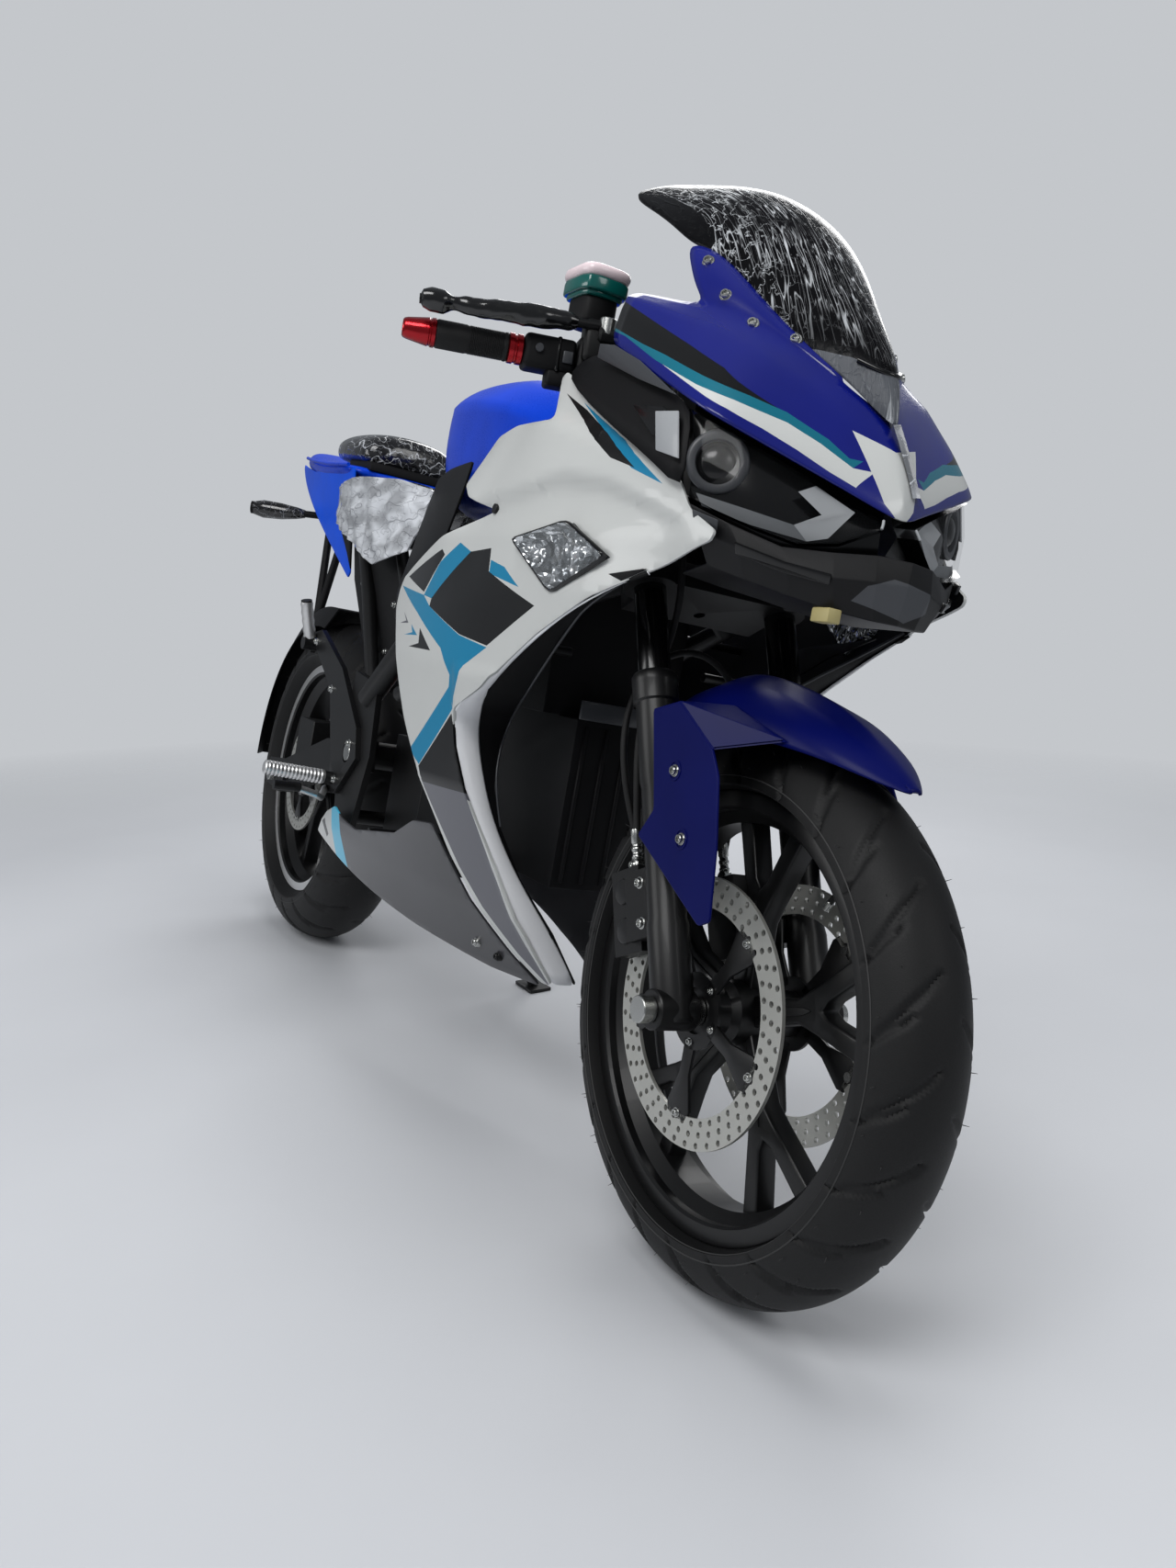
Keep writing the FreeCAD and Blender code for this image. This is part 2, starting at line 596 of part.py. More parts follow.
def build_bars():
    """Clip-on bar, grip, switch box, lever and fluid cup on each side."""
    length = BAR_REACH.Length
    cap = length - CAP_LENGTH
    grip = cap - GRIP_LENGTH
    ring = grip - RING_LENGTH

    bar = fused(rod(along_bar(0), along_bar(cap), BAR_R), rod(along_bar(grip), along_bar(cap), GRIP_R),
                Part.makeCone(GRIP_R, CAP_TIP_R, CAP_LENGTH, along_bar(cap), BAR_WAY))
    switch = fused(rod(along_bar(78), along_bar(ring), SWITCH_R),
                   rod(along_bar(ring), along_bar(grip), GRIP_R + 1))
    lever_root = along_bar(62) + V(34, 0, 36)
    lever = pipe([lever_root, along_bar(190) + V(34, 0, 33), along_bar(length) + V(31, 4, 28)], LEVER_R)
    master = rod(MASTER_END, along_bar(72) + MASTER_OFFSET, 8.0)
    pivot = rod(lever_root - V(0, 0, 9.5), lever_root + V(0, 0, 9.5), 11.0)
    perch = fused(rod(along_bar(56), along_bar(76), 19.0), rod(along_bar(66), lever_root, 9.0), master, pivot)
    clip_low = UPPER_CLAMP + CLAMP_T + SEAT_GAP
    collar = rod(fork_point(clip_low, -FORK_Y), fork_point(clip_low + CLIP_H, -FORK_Y), STANCHION_R + 9)
    clip = fused(collar, bar)
    bore = rod(fork_point(0, -FORK_Y), fork_point(FORK_TOP + 60, -FORK_Y), STANCHION_R + RUNNING_FIT)
    whole = fused(clip.cut(bore), switch, perch, lever)
    corner = CUP_CENTRE - V(CUP_SIZE.x / 2, CUP_SIZE.y / 2, 0)
    cup = Part.makeBox(CUP_SIZE.x, CUP_SIZE.y, CUP_SIZE.z, corner)
    upright = [edge for edge in cup.Edges if abs(edge.tangentAt(edge.FirstParameter).z) > 0.9]
    cup = cup.makeFillet(CUP_ROUND, upright)
    cup = fused(cup, rod(CUP_CENTRE, along_bar(60), 7.0))
    add("handlebar_right", fused(whole, cup))
    add("handlebar_left", mirrored(whole))


def build_frame():
    """Frame: head tube, two spars, pivot plates and cross tubes."""
    head_low = fork_point(LOWER_CLAMP + CLAMP_T + 4, 0, -CLAMP_OFFSET)
    head_high = fork_point(UPPER_CLAMP - 4, 0, -CLAMP_OFFSET)
    head = rod(head_low, head_high, 30.0)
    pieces = [head]
    head_mid = (head_low + head_high) * 0.5
    spar_y = PLATE_Y + PLATE_T / 2
    tube_y = BATTERY_HALF + SEAT_GAP + DOWN_TUBE_R
    for sign in (-1, 1):
        spar = pipe([head_mid + V(0, 0, 20), V(1070, sign * 120, 806), V(640, sign * spar_y, 620),
                     V(500, sign * spar_y, 520)], SPAR_R)
        lower = pipe([head_mid - V(0, 0, 60), V(1122, sign * tube_y, 705), V(640, sign * spar_y, 540)],
                     DOWN_TUBE_R)
        braces = [pipe([V(a, sign * 122, b), V(c, sign * 124, d)], 10.0)
                  for a, b, c, d in ((1035, 791, 960, 654), (960, 654, 860, 713), (860, 713, 740, 571))]
        plate = side_prism([(430, 560), (545, 545), (560, 430), (520, 300), (440, 290), (405, 400)],
                           *sorted((sign * PLATE_Y, sign * (PLATE_Y + PLATE_T))))
        tank_leg = rod(V(TANK_BAR.x, sign * 126, 722), V(TANK_BAR.x, sign * 109, TANK_BAR.z), 9.0)
        pieces += [spar, lower, plate, tank_leg] + braces
    pieces += stand_bracket()
    pieces += [rod(V(x, -spar_y, z), V(x, spar_y, z), 12.0) for x, z in ((445, 545), (470, 318), SHOCK_BAR)]
    pieces.append(rod(V(TANK_BAR.x, -109, TANK_BAR.z), V(TANK_BAR.x, 109, TANK_BAR.z), 14.0))
    frame = fused(*pieces).cut(rod(head_low - STEER_DIR * 5, head_high + STEER_DIR * 5, STEM_R + RUNNING_FIT))
    frame = frame.cut(rod(V(PIVOT_X, -150, PIVOT_Z), V(PIVOT_X, 150, PIVOT_Z), PIVOT_R))
    add("main_frame", frame)
    rails = []
    for sign in (-1, 1):
        rails.append(pipe([V(450, sign * 112, 545), V(330, sign * 102, 690), V(150, sign * 84, 866),
                           V(-118, sign * 52, 892.5)], 12.0))
        rails.append(pipe([V(600, sign * 104, 606), V(420, sign * 92, 788), V(230, sign * 86, 814),
                           V(150, sign * 84, 866)], 11.0))
    ties = [rod(V(x, -y, z), V(x, y, z), 9.0)
            for x, y, z in ((170, 84, 850), (-110, 52, 892), (415, 92, 790))]
    add("subframe", fused(*rails, *ties).cut(nodes["main_frame"]))


def build_swingarm():
    """Rear fork with its cross tube, pivot bolt and rear axle."""
    arms = []
    outline = [(490, 450), (300, 430), (60, 360), (-45, 350), (-60, 300), (40, 292), (300, 362), (490, 398)]
    for sign in (-1, 1):
        arms.append(side_prism(outline, *sorted((sign * (ARM_Y - ARM_HALF), sign * (ARM_Y + ARM_HALF)))))
    cross = rod(V(PIVOT_X, -ARM_Y, PIVOT_Z), V(PIVOT_X, ARM_Y, PIVOT_Z), 23.0)
    bridge = block(345, 420, -ARM_Y, ARM_Y, 404, 438)
    spools = [rod(V(SPOOL.x, sign * (SPOOL.y - 8), SPOOL.z), V(SPOOL.x, sign * SPOOL.y, SPOOL.z), 11.0)
              for sign in (-1, 1)]
    arm = fused(arms[0], arms[1], cross, bridge, *spools)
    for sign in (-1, 1):
        arm = arm.cut(rod(V(SPOOL.x, sign * (SPOOL.y - SPOOL_DEPTH), SPOOL.z),
                          V(SPOOL.x, sign * (SPOOL.y + 1), SPOOL.z), SPOOL_R))
    arm = arm.cut(rod(V(PIVOT_X, -160, PIVOT_Z), V(PIVOT_X, 160, PIVOT_Z), PIVOT_R))
    arm = arm.cut(rod(REAR_AXLE + V(0, -160, 0), REAR_AXLE + V(0, 160, 0), REAR_AXLE_R))
    add("swingarm", arm)
    end = PLATE_Y + PLATE_T
    add("pivot_bolt", fused(rod(V(PIVOT_X, -end, PIVOT_Z), V(PIVOT_X, end, PIVOT_Z), PIVOT_R),
                            rod(V(PIVOT_X, -end - 9, PIVOT_Z), V(PIVOT_X, -end, PIVOT_Z), 15.0),
                            rod(V(PIVOT_X, end, PIVOT_Z), V(PIVOT_X, end + 9, PIVOT_Z), 15.0)))
    right = REAR_DISC_Y - DISC_T / 2 + SEAT_GAP
    left = CHAIN_Y - SPROCKET_T / 2 + SEAT_GAP
    end = ARM_Y + ARM_HALF
    add("rear_axle", fused(rod(REAR_AXLE + V(0, -end, 0), REAR_AXLE + V(0, end, 0), REAR_AXLE_R),
                           rod(REAR_AXLE + V(0, -end - 12, 0), REAR_AXLE + V(0, -end, 0), 15.0),
                           rod(REAR_AXLE + V(0, end, 0), REAR_AXLE + V(0, end + 12, 0), 15.0),
                           rod(REAR_AXLE + V(0, 2 * ARM_HALF - end, 0), REAR_AXLE + V(0, -right, 0), 17.0),
                           rod(REAR_AXLE + V(0, left, 0), REAR_AXLE + V(0, end - 2 * ARM_HALF, 0), 17.0)))


def panel_y(skin, x, z):
    """How far out a rod may reach to stop just short of a side skin, at a place in side view."""
    reach = []
    for dx, dz in ((0, 0), (PEG_R, 0), (-PEG_R, 0), (0, PEG_R), (0, -PEG_R)):
        hit = skin.common(Part.makeLine(V(x + dx, -400, z + dz), V(x + dx, 0, z + dz)))
        reach += [-vertex.Y for vertex in hit.Vertexes]
    outer = max(reach)
    return min(value for value in reach if value < outer - WALL / 2) - SEAT_GAP


def build_fairings():
    """Side fairings, belly pans, inner edge panels and the front turn lamps."""
    skin = arc_skin(SKIN, WALL)
    lining = arc_skin(SKIN, WALL, WALL + SEAT_GAP)
    lamp_hole = side_prism(TURN_LAMP, -300, -100)
    for name, source in (("side_fairing", skin), ("belly_pan", skin), ("inner_fairing", lining)):
        panel = source.common(side_prism(OUTLINES[name], -300, -5))
        if name != "belly_pan":
            panel = panel.cut(lamp_hole)
        panel = max(panel.Solids, key=lambda solid: solid.Volume)
        if name == "side_fairing":
            add(name + "_right", panel)
            add(name + "_left", mirrored(panel))
        else:
            add_pair(name + "s", panel)
    stays = []
    for x, z, y, lined in ((1000, 690, 125, 0), (850, 650, 130, 0), (1090, 790, 125, 0),
                           (700, 330, 74, 0), (980, 352, 74, 0), (1110, 640, 100, 1)):
        reach = panel_y(skin, x, z) - lined * (WALL + SEAT_GAP)
        stays.append(rod(V(x, -y, z), V(x, -reach, z), PEG_R))
    trimmed = [stay.cut(nodes["battery_box"]).cut(nodes["main_frame"]).cut(nodes["motor"]) for stay in stays]
    stays = Part.makeCompound([max(stay.Solids, key=lambda solid: solid.Volume) for stay in trimmed])
    add_pair("fairing_stays", stays)
    lamp = arc_skin(SKIN, 3 * WALL).common(side_prism(TURN_LAMP_BODY, -300, -100))
    add_pair("turn_lamps", lamp)


def build_nose():
    """Nose cowl, windscreen, headlamps, inner cowl and chin, all placed ahead of the front axle."""
    cowl = strip_loft(ahead(NOSE_COWL), WALL)
    add("nose_cowl", cowl)
    add("windscreen", strip_loft(ahead(SCREEN), WALL).cut(cowl))
    start = FRONT_AXLE.x
    for side, sign in (("right", -1), ("left", 1)):
        lamp = side_prism(ahead(LAMP), *sorted((sign * LAMP_IN, sign * LAMP_OUT)))
        wedge = face_of([V(start + x, sign * y, 700) for x, y in LAMP_WEDGE]).extrude(V(0, 0, 260))
        add("headlight_" + side, lamp.common(wedge))
    dash = block(start - 206, start - 177, -85, 85, 985, 1058)
    add("instrument_panel", dash)
    root = fork_point(LOWER_CLAMP + 155.6, 0, -CLAMP_OFFSET)
    arms = [pipe([V(root.x, 0, 845), V(start - 187, 0, 872), V(start - 65, 0, 828)], 10.0),
            rod(V(start - 191, 0, 872), V(start - 191, 0, 986), 8.0),
            rod(V(start - 65, -70, 828), V(start - 65, 70, 828), 8.0),
            rod(V(start - 109, 0, 846), V(start - 49, 0, 716), 8.0),
            rod(V(start - 187, -210, 988), V(start - 187, 210, 988), 6.0)]
    stay = fused(*arms)
    for other in (nodes["main_frame"], dash, nodes["headlight_right"], nodes["headlight_left"], cowl):
        stay = stay.cut(other)
    chin = strip_loft(ahead(CHIN), -WALL)
    add("chin", chin)
    add("cowl_bracket", max(stay.cut(chin).Solids, key=lambda solid: solid.Volume))


def ahead(rows):
    """Stations or outline points measured from the front axle, moved to their place."""
    return [(FRONT_AXLE.x + row[0], row[1]) for row in rows]


def build_tank_seat_tail():
    """Tank cover, seats, tail cowl and its side covers."""
    tank = Part.makeLoft([
        Part.makePolygon([V(x, y, z) for y, z in ring + [ring[0]]]) for x, ring in (
            (560, [(-70, 862), (-85, 960), (-50, 1005), (50, 1005), (85, 960), (70, 862)]),
            (740, [(-112, 792), (-125, 970), (-70, 1030), (70, 1030), (125, 970), (112, 792)]),
            (920, [(-112, 792), (-145, 950), (-80, 1012), (80, 1012), (145, 950), (112, 792)]),
            (1010, [(-100, 850), (-120, 930), (-70, 970), (70, 970), (120, 930), (100, 850)]))], True, True)
    add("tank", tank)
    rider = Part.makeLoft([
        Part.makePolygon([V(x, y, z) for y, z in ring + [ring[0]]]) for x, ring in (
            (555, [(-70, 850), (-78, 880), (-50, 895), (50, 895), (78, 880), (70, 850)]),
            (420, [(-90, 801), (-108, 850), (-60, 868), (60, 868), (108, 850), (90, 801)]),
            (240, [(-115, 840), (-120, 880), (-70, 895), (70, 895), (120, 880), (115, 840)]),
            (180, [(-105, 860), (-105, 930), (-60, 950), (60, 950), (105, 930), (105, 860)]))], True, True)
    add("rider_seat", rider)
    passenger = Part.makeLoft([
        Part.makePolygon([V(x, y, z) for y, z in ring + [ring[0]]]) for x, ring in (
            (176, [(-90, 930.5), (-95, 975), (-60, 1000), (60, 1000), (95, 975), (90, 930.5)]),
            (50, [(-100, 944.3), (-105, 985), (-65, 1012), (65, 1012), (105, 985), (100, 944.3)]),
            (-90, [(-85, 960.9), (-88, 995), (-50, 1015), (50, 1015), (88, 995), (85, 960.9)]))], True, True)
    add("passenger_seat", passenger)
    tail = Part.makeLoft([
        Part.makePolygon([V(x, y, z) for y, z in ring + [ring[0]]]) for x, ring in (
            (176, [(-95, 905), (-125, 925), (-125, 930), (125, 930), (125, 925), (95, 905)]),
            (50, [(-80, 900), (-130, 925), (-118, 944), (118, 944), (130, 925), (80, 900)]),
            (-120, [(-60, 905), (-118, 935), (-95, 964), (95, 964), (118, 935), (60, 905)]),
            (-310, [(-40, 955), (-82, 970), (-70, 988), (70, 988), (82, 970), (40, 955)]))], True, True)
    flank = arc_skin(TAIL_FLANK_LEVELS, WALL).common(side_prism(TAIL_FLANK, -300, -5))
    add("tail_cowl", fused(tail, flank, mirrored(flank)))
    cover_levels = [
        (740, (150, -100), (300, -122), (480, -128)),
        (905, (150, -132), (330, -148), (540, -112)),
    ]
    cover = arc_skin(cover_levels, WALL).common(side_prism(
        [(150, 905), (120, 860), (200, 740), (300, 742), (470, 760), (535, 850), (530, 905)], -300, -5))
    pegs = [rod(V(x, -88, z), V(x, -panel_y(cover, x, z), z), PEG_R) for x, z in ((240, 800), (430, 772))]
    knee_levels = [
        (650, (560, -150), (680, -178), (800, -190)),
        (880, (560, -100), (680, -130), (830, -165)),
    ]
    knee = arc_skin(knee_levels, WALL).common(side_prism(
        [(560, 880), (560, 800), (600, 690), (690, 650), (780, 680), (830, 800), (880, 878), (700, 880)],
        -300, -5))
    pegs += [rod(V(x, -124, z), V(x, -panel_y(knee, x, z), z), PEG_R) for x, z in ((720, 672), (760, 692))]
    trimmed = [peg.cut(nodes["subframe"]).cut(nodes["main_frame"]) for peg in pegs]
    pegs = Part.makeCompound([max(peg.Solids, key=lambda solid: solid.Volume) for peg in trimmed])
    for name, shape in (("seat_covers", cover), ("knee_covers", knee), ("cover_pegs", pegs)):
        add_pair(name, shape)


def build_rear():
    """Mudguard with struts, rear lamp and turn signals."""
    inner = REAR_TYRE_R + 22
    half = REAR_TYRE_HALF + 8
    hoop = turned([(-half, inner - 40), (-half + 20, inner), (half - 20, inner), (half, inner - 40),
                   (half + WALL, inner - 40), (half - 18, inner + WALL), (18 - half, inner + WALL),
                   (-half - WALL, inner - 40)], REAR_AXLE)
    hoop = hoop.common(side_prism([(0, 323), (60, 750), (-450, 750), (-450, 330)], -120, 120))
    struts = []
    for sign in (-1, 1):
        struts += [rod(V(-196, sign * 36, 935), V(-134, sign * 50, 643), 8.0),
                   rod(V(-40, sign * 36, 915), V(-130, sign * 50, 645), 8.0)]
    add("rear_mudguard", fused(hoop, *struts).cut(nodes["tail_cowl"]).cut(nodes["subframe"]))
    lamp = block(-319, -310, -40, 40, 959, 982)
    add("tail_lamp", lamp)
    stalk = fused(rod(V(-181, -47.5, 862), V(-235, -140, 856), 7.0),
                  rod(V(-232, -130, 856), V(-262, -190, 854), 13.0))
    add_pair("rear_signals", stalk.cut(nodes["rear_mudguard"]))


def build_footrests():
    """Footrest hangers with rider and passenger pegs, and the rear brake caliper."""
    for side, sign in (("right", -1), ("left", 1)):
        plate_out = PLATE_Y + PLATE_T
        y0, y1 = sorted((sign * plate_out, sign * (plate_out + 9)))
        hanger = side_prism([(500, 470), (520, 420), (440, 350), (400, 345), (395, 400), (330, 520),
                             (200, 590),
                             (175, 575), (170, 610), (230, 620), (380, 560)], y0, y1)
        peg = rod(V(418, sign * 140, 372), V(420, sign * 262, 377), 11.0)
        rear_peg = rod(V(192, sign * 152, 592), V(208, sign * 176, 668), 10.0)
        rear_lug = rod(V(192, sign * 140, 592), V(192, sign * 166, 592), 13.0)
        bolt_room = rod(V(PIVOT_X, -200, PIVOT_Z), V(PIVOT_X, 200, PIVOT_Z), 18.0)
        pieces = [hanger, peg, rear_peg, rear_lug]
        if side == "right":
            pieces.append(pipe(PEDAL, PEDAL_R))
            pieces.append(rod(PEDAL[0], PEDAL[0] + V(0, 24, 0), PEDAL_R + 2))
            pieces.append(rod(PEDAL[-1], PEDAL[-1] - V(0, 34, 0), PEDAL_R + 3))
        add("footrest_" + side, fused(*pieces).cut(bolt_room))
    inner_y = ARM_Y - ARM_HALF
    caliper = fused(block(40, 118, 6 - inner_y, -42, 395, 445),
                    block(24, 118, -inner_y, 8 - inner_y, 325, 445))
    slot = turned([(-6, 40), (6, 40), (6, REAR_DISC_R + WHEEL_GAP), (-6, REAR_DISC_R + WHEEL_GAP)],
                  REAR_AXLE + V(0, -REAR_DISC_Y, 0))
    add("rear_caliper", caliper.cut(slot))


def build_power():
    """Battery box behind the front wheel and the rear shock."""
    lower = block(BATTERY_REAR, 1112, -74, 74, 345, 560)
    upper = block(BATTERY_REAR, 1060, -BATTERY_HALF, BATTERY_HALF, 560, 760)
    add("battery_box", fused(lower, upper))
    low = V(392, 0, 437)
    high = V(SHOCK_BAR[0], 0, SHOCK_BAR[1])
    shock = fused(rod(low, high, 14.0), rod(low + (high - low) * 0.22, low + (high - low) * 0.82, 28.0))
    shock = shock.cut(nodes["swingarm"]).cut(nodes["main_frame"])
    add("rear_shock", max(shock.Solids, key=lambda solid: solid.Volume))


def build_side_stand():
    """Stand leg from its pivot eye under the left pivot plate to a foot flat on the floor."""
    axis = STAND_AXIS
    eye = rod(STAND_PIVOT, STAND_PIVOT + axis * STAND_EYE_T, 17.0)
    start = STAND_PIVOT + axis * (STAND_EYE_T / 2)
    foot = STAND_FOOT + V(0, 0, floor_height(STAND_FOOT.y))
    leg = pipe([start, start + (foot - start) * 0.5 + V(8, 12, 0), foot + V(0, 0, 8)], 10.0)
    pad = Part.makeBox(64, 40, 6, V(-34, -18, 0))
    pad.rotate(V(0, 0, 0), V(1, 0, 0), LEAN)
    pad.translate(foot)
    stand = fused(eye, leg, pad)
    below = Part.makeBox(400, 400, 60, V(-200, -200, -60))
    below.rotate(V(0, 0, 0), V(1, 0, 0), LEAN)
    below.translate(foot)
    stand = stand.cut(below)
    stand = stand.cut(rod(STAND_PIVOT - axis * 40, STAND_PIVOT + axis * 40, STAND_PIN_R + RUNNING_FIT))
    stand = stand.cut(rod(STAND_PIVOT - axis * 40, STAND_PIVOT, 19.0))
    stand = stand.cut(rod(STAND_PIVOT + axis * STAND_EYE_T, STAND_PIVOT + axis * 40, 13.0))
    add("side_stand", max(stand.Solids, key=lambda solid: solid.Volume))


def stand_bracket():
    """The lug and pin under the left pivot plate that carry the stand's eye."""
    axis = STAND_AXIS
    base = STAND_PIVOT - axis * (SEAT_GAP + 12)
    plate = rod(base, STAND_PIVOT - axis * SEAT_GAP, 17.0)
    arm = pipe([V(479, 96, 262), V(479, 96, 304), V(480, 130, 320)], 8.0)
    pin = rod(base, STAND_PIVOT + axis * (STAND_EYE_T + SEAT_GAP + 5), STAND_PIN_R)
    outer = STAND_PIVOT + axis * (STAND_EYE_T + SEAT_GAP)
    head = rod(outer, outer + axis * 5, 11.0)
    return [plate, arm, pin, head]


def placed_point(point):
    """A point of the upright frame in the leaned, set-down one."""
    shape = placed(Part.Vertex(point))
    return shape.Point


def placed(shape):
    """Leans a piece onto the side stand and drops the bike onto the floor."""
    shape = shape.copy()
    shape.rotate(V(0, 0, 0), V(1, 0, 0), -LEAN)
    shape.translate(V(0, 0, lean_drop))
    return shape


def corners(shapes):
    """Lowest and highest x and y over all pieces."""
    points = [point for shape in shapes for point in shape.tessellate(0.3)[0]]
    return [(min(getattr(p, axis) for p in points), max(getattr(p, axis) for p in points)) for axis in "xyz"]


def main():
    """Builds every node, leans the bike and writes one file per node."""
    build_front_wheel()
    build_rear_wheel()
    build_drive()
    build_steering()
    build_frame()
    build_swingarm()
    build_power()
    build_fairings()
    build_nose()
    build_tank_seat_tail()
    build_rear()
    build_footrests()
    build_side_stand()
    stood = {name: placed(shape) for name, shape in nodes.items()}
    (x0, x1), (y0, y1), (z0, z1) = corners(stood.values())
    shift = V(-(x0 + x1) / 2, -(y0 + y1) / 2, 0)
    os.makedirs("parts", exist_ok=True)
    for name, shape in stood.items():
        shape.translate(shift)
        shape.exportStep("parts/%s.step" % name)
    print("box", round(x1 - x0, 1), round(y1 - y0, 1), round(z0, 2), round(z1, 1))
    for name, point, toward in (
            ("front_axle", FRONT_AXLE, V(0, 1, 0)), ("rear_axle", REAR_AXLE, V(0, 1, 0)),
            ("steering", STEER_BASE, STEER_DIR), ("side_stand", STAND_PIVOT, STAND_AXIS),
            ("spool_right", V(SPOOL.x, -SPOOL.y, SPOOL.z), V(0, -1, 0)), ("spool_left", SPOOL, V(0, 1, 0)),
            ("stand_foot", STAND_FOOT + V(0, 0, floor_height(STAND_FOOT.y)), V(0, 0, 1))):
        at = placed_point(point) + shift
        way = placed_point(point + toward) + shift - at
        way.normalize()
        print("point", name, [round(v / 1000, 6) for v in at], [round(v, 6) for v in way])
    print("stand folds", round(degrees(STAND_DOWN.getAngle(STAND_FOLDED)), 1))


main()
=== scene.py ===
"""Looks of a parked sport bike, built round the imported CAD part.

Sizes are written in the bike's own upright frame, in millimetres: x forwards,
y to the rider's left, z up, with the origin under the rear axle at the tread.
Each piece is modelled there and then leaned onto the side stand with the bike.
"""
import json
import logging
import math
from dataclasses import dataclass, field
from enum import Enum
from typing import Callable, List, Optional, Sequence, Tuple, Union

import bmesh
import bpy
from mathutils import Matrix, Vector, noise

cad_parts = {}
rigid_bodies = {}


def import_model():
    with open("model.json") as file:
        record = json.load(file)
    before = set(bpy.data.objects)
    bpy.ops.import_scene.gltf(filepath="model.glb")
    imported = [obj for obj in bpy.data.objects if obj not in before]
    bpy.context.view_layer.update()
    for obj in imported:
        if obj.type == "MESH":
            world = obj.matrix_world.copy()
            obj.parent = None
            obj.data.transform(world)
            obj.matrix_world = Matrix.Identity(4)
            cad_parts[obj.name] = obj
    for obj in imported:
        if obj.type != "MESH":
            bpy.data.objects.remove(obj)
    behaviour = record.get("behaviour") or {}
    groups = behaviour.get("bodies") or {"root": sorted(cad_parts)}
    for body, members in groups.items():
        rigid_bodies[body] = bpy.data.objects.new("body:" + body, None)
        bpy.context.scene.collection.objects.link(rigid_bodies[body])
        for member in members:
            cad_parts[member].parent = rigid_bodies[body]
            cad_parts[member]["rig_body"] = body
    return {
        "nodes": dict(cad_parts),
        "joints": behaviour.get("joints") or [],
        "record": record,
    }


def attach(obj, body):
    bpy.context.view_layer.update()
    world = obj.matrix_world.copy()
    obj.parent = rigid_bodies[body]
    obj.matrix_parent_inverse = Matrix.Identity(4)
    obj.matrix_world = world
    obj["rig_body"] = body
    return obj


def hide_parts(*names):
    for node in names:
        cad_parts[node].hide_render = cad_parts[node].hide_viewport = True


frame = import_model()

LOG = logging.getLogger("sport_bike")
Pair = Tuple[float, float]
Point = Union[Tuple[float, float, float], Vector]
Colour = Tuple[float, float, float, float]
Shape = bmesh.types.BMesh

METRE = 1000.0  # millimetres
MM = 0.001  # metres
WELD = 0.001  # points closer than this become one
TINY = 1e-6
FINE_MESH = 1000  # faces
ORIGIN = (0, 0, 0)
RIGHTWARD = (0, -1, 0)

AXLE_HEIGHT = 323.0  # the rear axle over the tread
WHEELBASE = 1449.0
FRONT_AXLE_Z = 292.67
RAKE = 24.0  # the fork's slant in degrees
FORK_Y = 93.0  # a fork leg's distance from the middle


class Side(Enum):
    """Which side of the bike a piece is on; the value is the sign of y."""

    RIGHT = -1
    LEFT = 1

    @property
    def word(self) -> str:
        """The side's name in piece names."""
        return self.name.lower()


@dataclass(frozen=True)
class Stance:
    """How the upright bike stands in the row frame."""

    axle: Vector
    lean: float

    def matrix(self) -> Matrix:
        """Upright millimetres to row metres.

        Returns:
            The matrix that places a finished mesh.
        """
        turn = Matrix.Rotation(-self.lean, 4, "X")
        down = Matrix.Translation((0, 0, -AXLE_HEIGHT))
        return Matrix.Translation(self.axle) @ turn @ Matrix.Scale(MM, 4) @ down

    def back(self) -> Tuple[Vector, Vector]:
        """Location and rotation of a Mapping node that reads upright millimetres.

        Returns:
            The location and the Euler angles.
        """
        turned = Matrix.Rotation(self.lean, 3, "X") @ self.axle
        return Vector((0, 0, AXLE_HEIGHT)) - turned * METRE, Vector((self.lean, 0, 0))


def stance_of(joints: Sequence[dict]) -> Stance:
    """Reads the bike's stance from the rear wheel's joint.

    Args:
        joints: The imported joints.

    Returns:
        The stance.
    """
    spin = next(joint for joint in joints if joint["name"] == "rear_wheel_spin")
    _, across, down = spin["axis"]
    return Stance(Vector(spin["pos_m"]), math.atan2(-down, across))


STANCE = stance_of(frame["joints"])


def linear(red: int, green: int, blue: int) -> Colour:
    """A screen colour of 0 to 255 as the linear colour that a shader takes."""
    def channel(value: int) -> float:
        """One channel, linear."""
        part = value / 255.0
        return part / 12.92 if part <= 0.04045 else ((part + 0.055) / 1.055) ** 2.4
    return channel(red), channel(green), channel(blue), 1.0


class Value:
    """A number socket of a shader, with arithmetic."""

    def __init__(self, net: "Net", socket: bpy.types.NodeSocket) -> None:
        """Keeps the socket and the material it belongs to."""
        self.net = net
        self.socket = socket

    def _with(self, operation: str, *others: object) -> "Value":
        """A Math node on this value and others."""
        return self.net.math(operation, self, *others)

    def __add__(self, other: object) -> "Value":
        """Sum."""
        return self._with("ADD", other)

    __radd__ = __add__

    def __sub__(self, other: object) -> "Value":
        """Difference."""
        return self._with("SUBTRACT", other)

    def __rsub__(self, other: object) -> "Value":
        """Difference the other way round."""
        return self.net.math("SUBTRACT", other, self)

    def __mul__(self, other: object) -> "Value":
        """Product."""
        return self._with("MULTIPLY", other)

    __rmul__ = __mul__

    def __gt__(self, other: object) -> "Value":
        """1 where this is greater."""
        return self._with("GREATER_THAN", other)

    def least(self, other: object) -> "Value":
        """The smaller of two values."""
        return self._with("MINIMUM", other)

    def most(self, other: object) -> "Value":
        """The greater of two values."""
        return self._with("MAXIMUM", other)

    def held(self) -> "Value":
        """The value, held between 0 and 1."""
        return self.most(0.0).least(1.0)

    def size(self) -> "Value":
        """The value without its sign."""
        return self._with("ABSOLUTE")


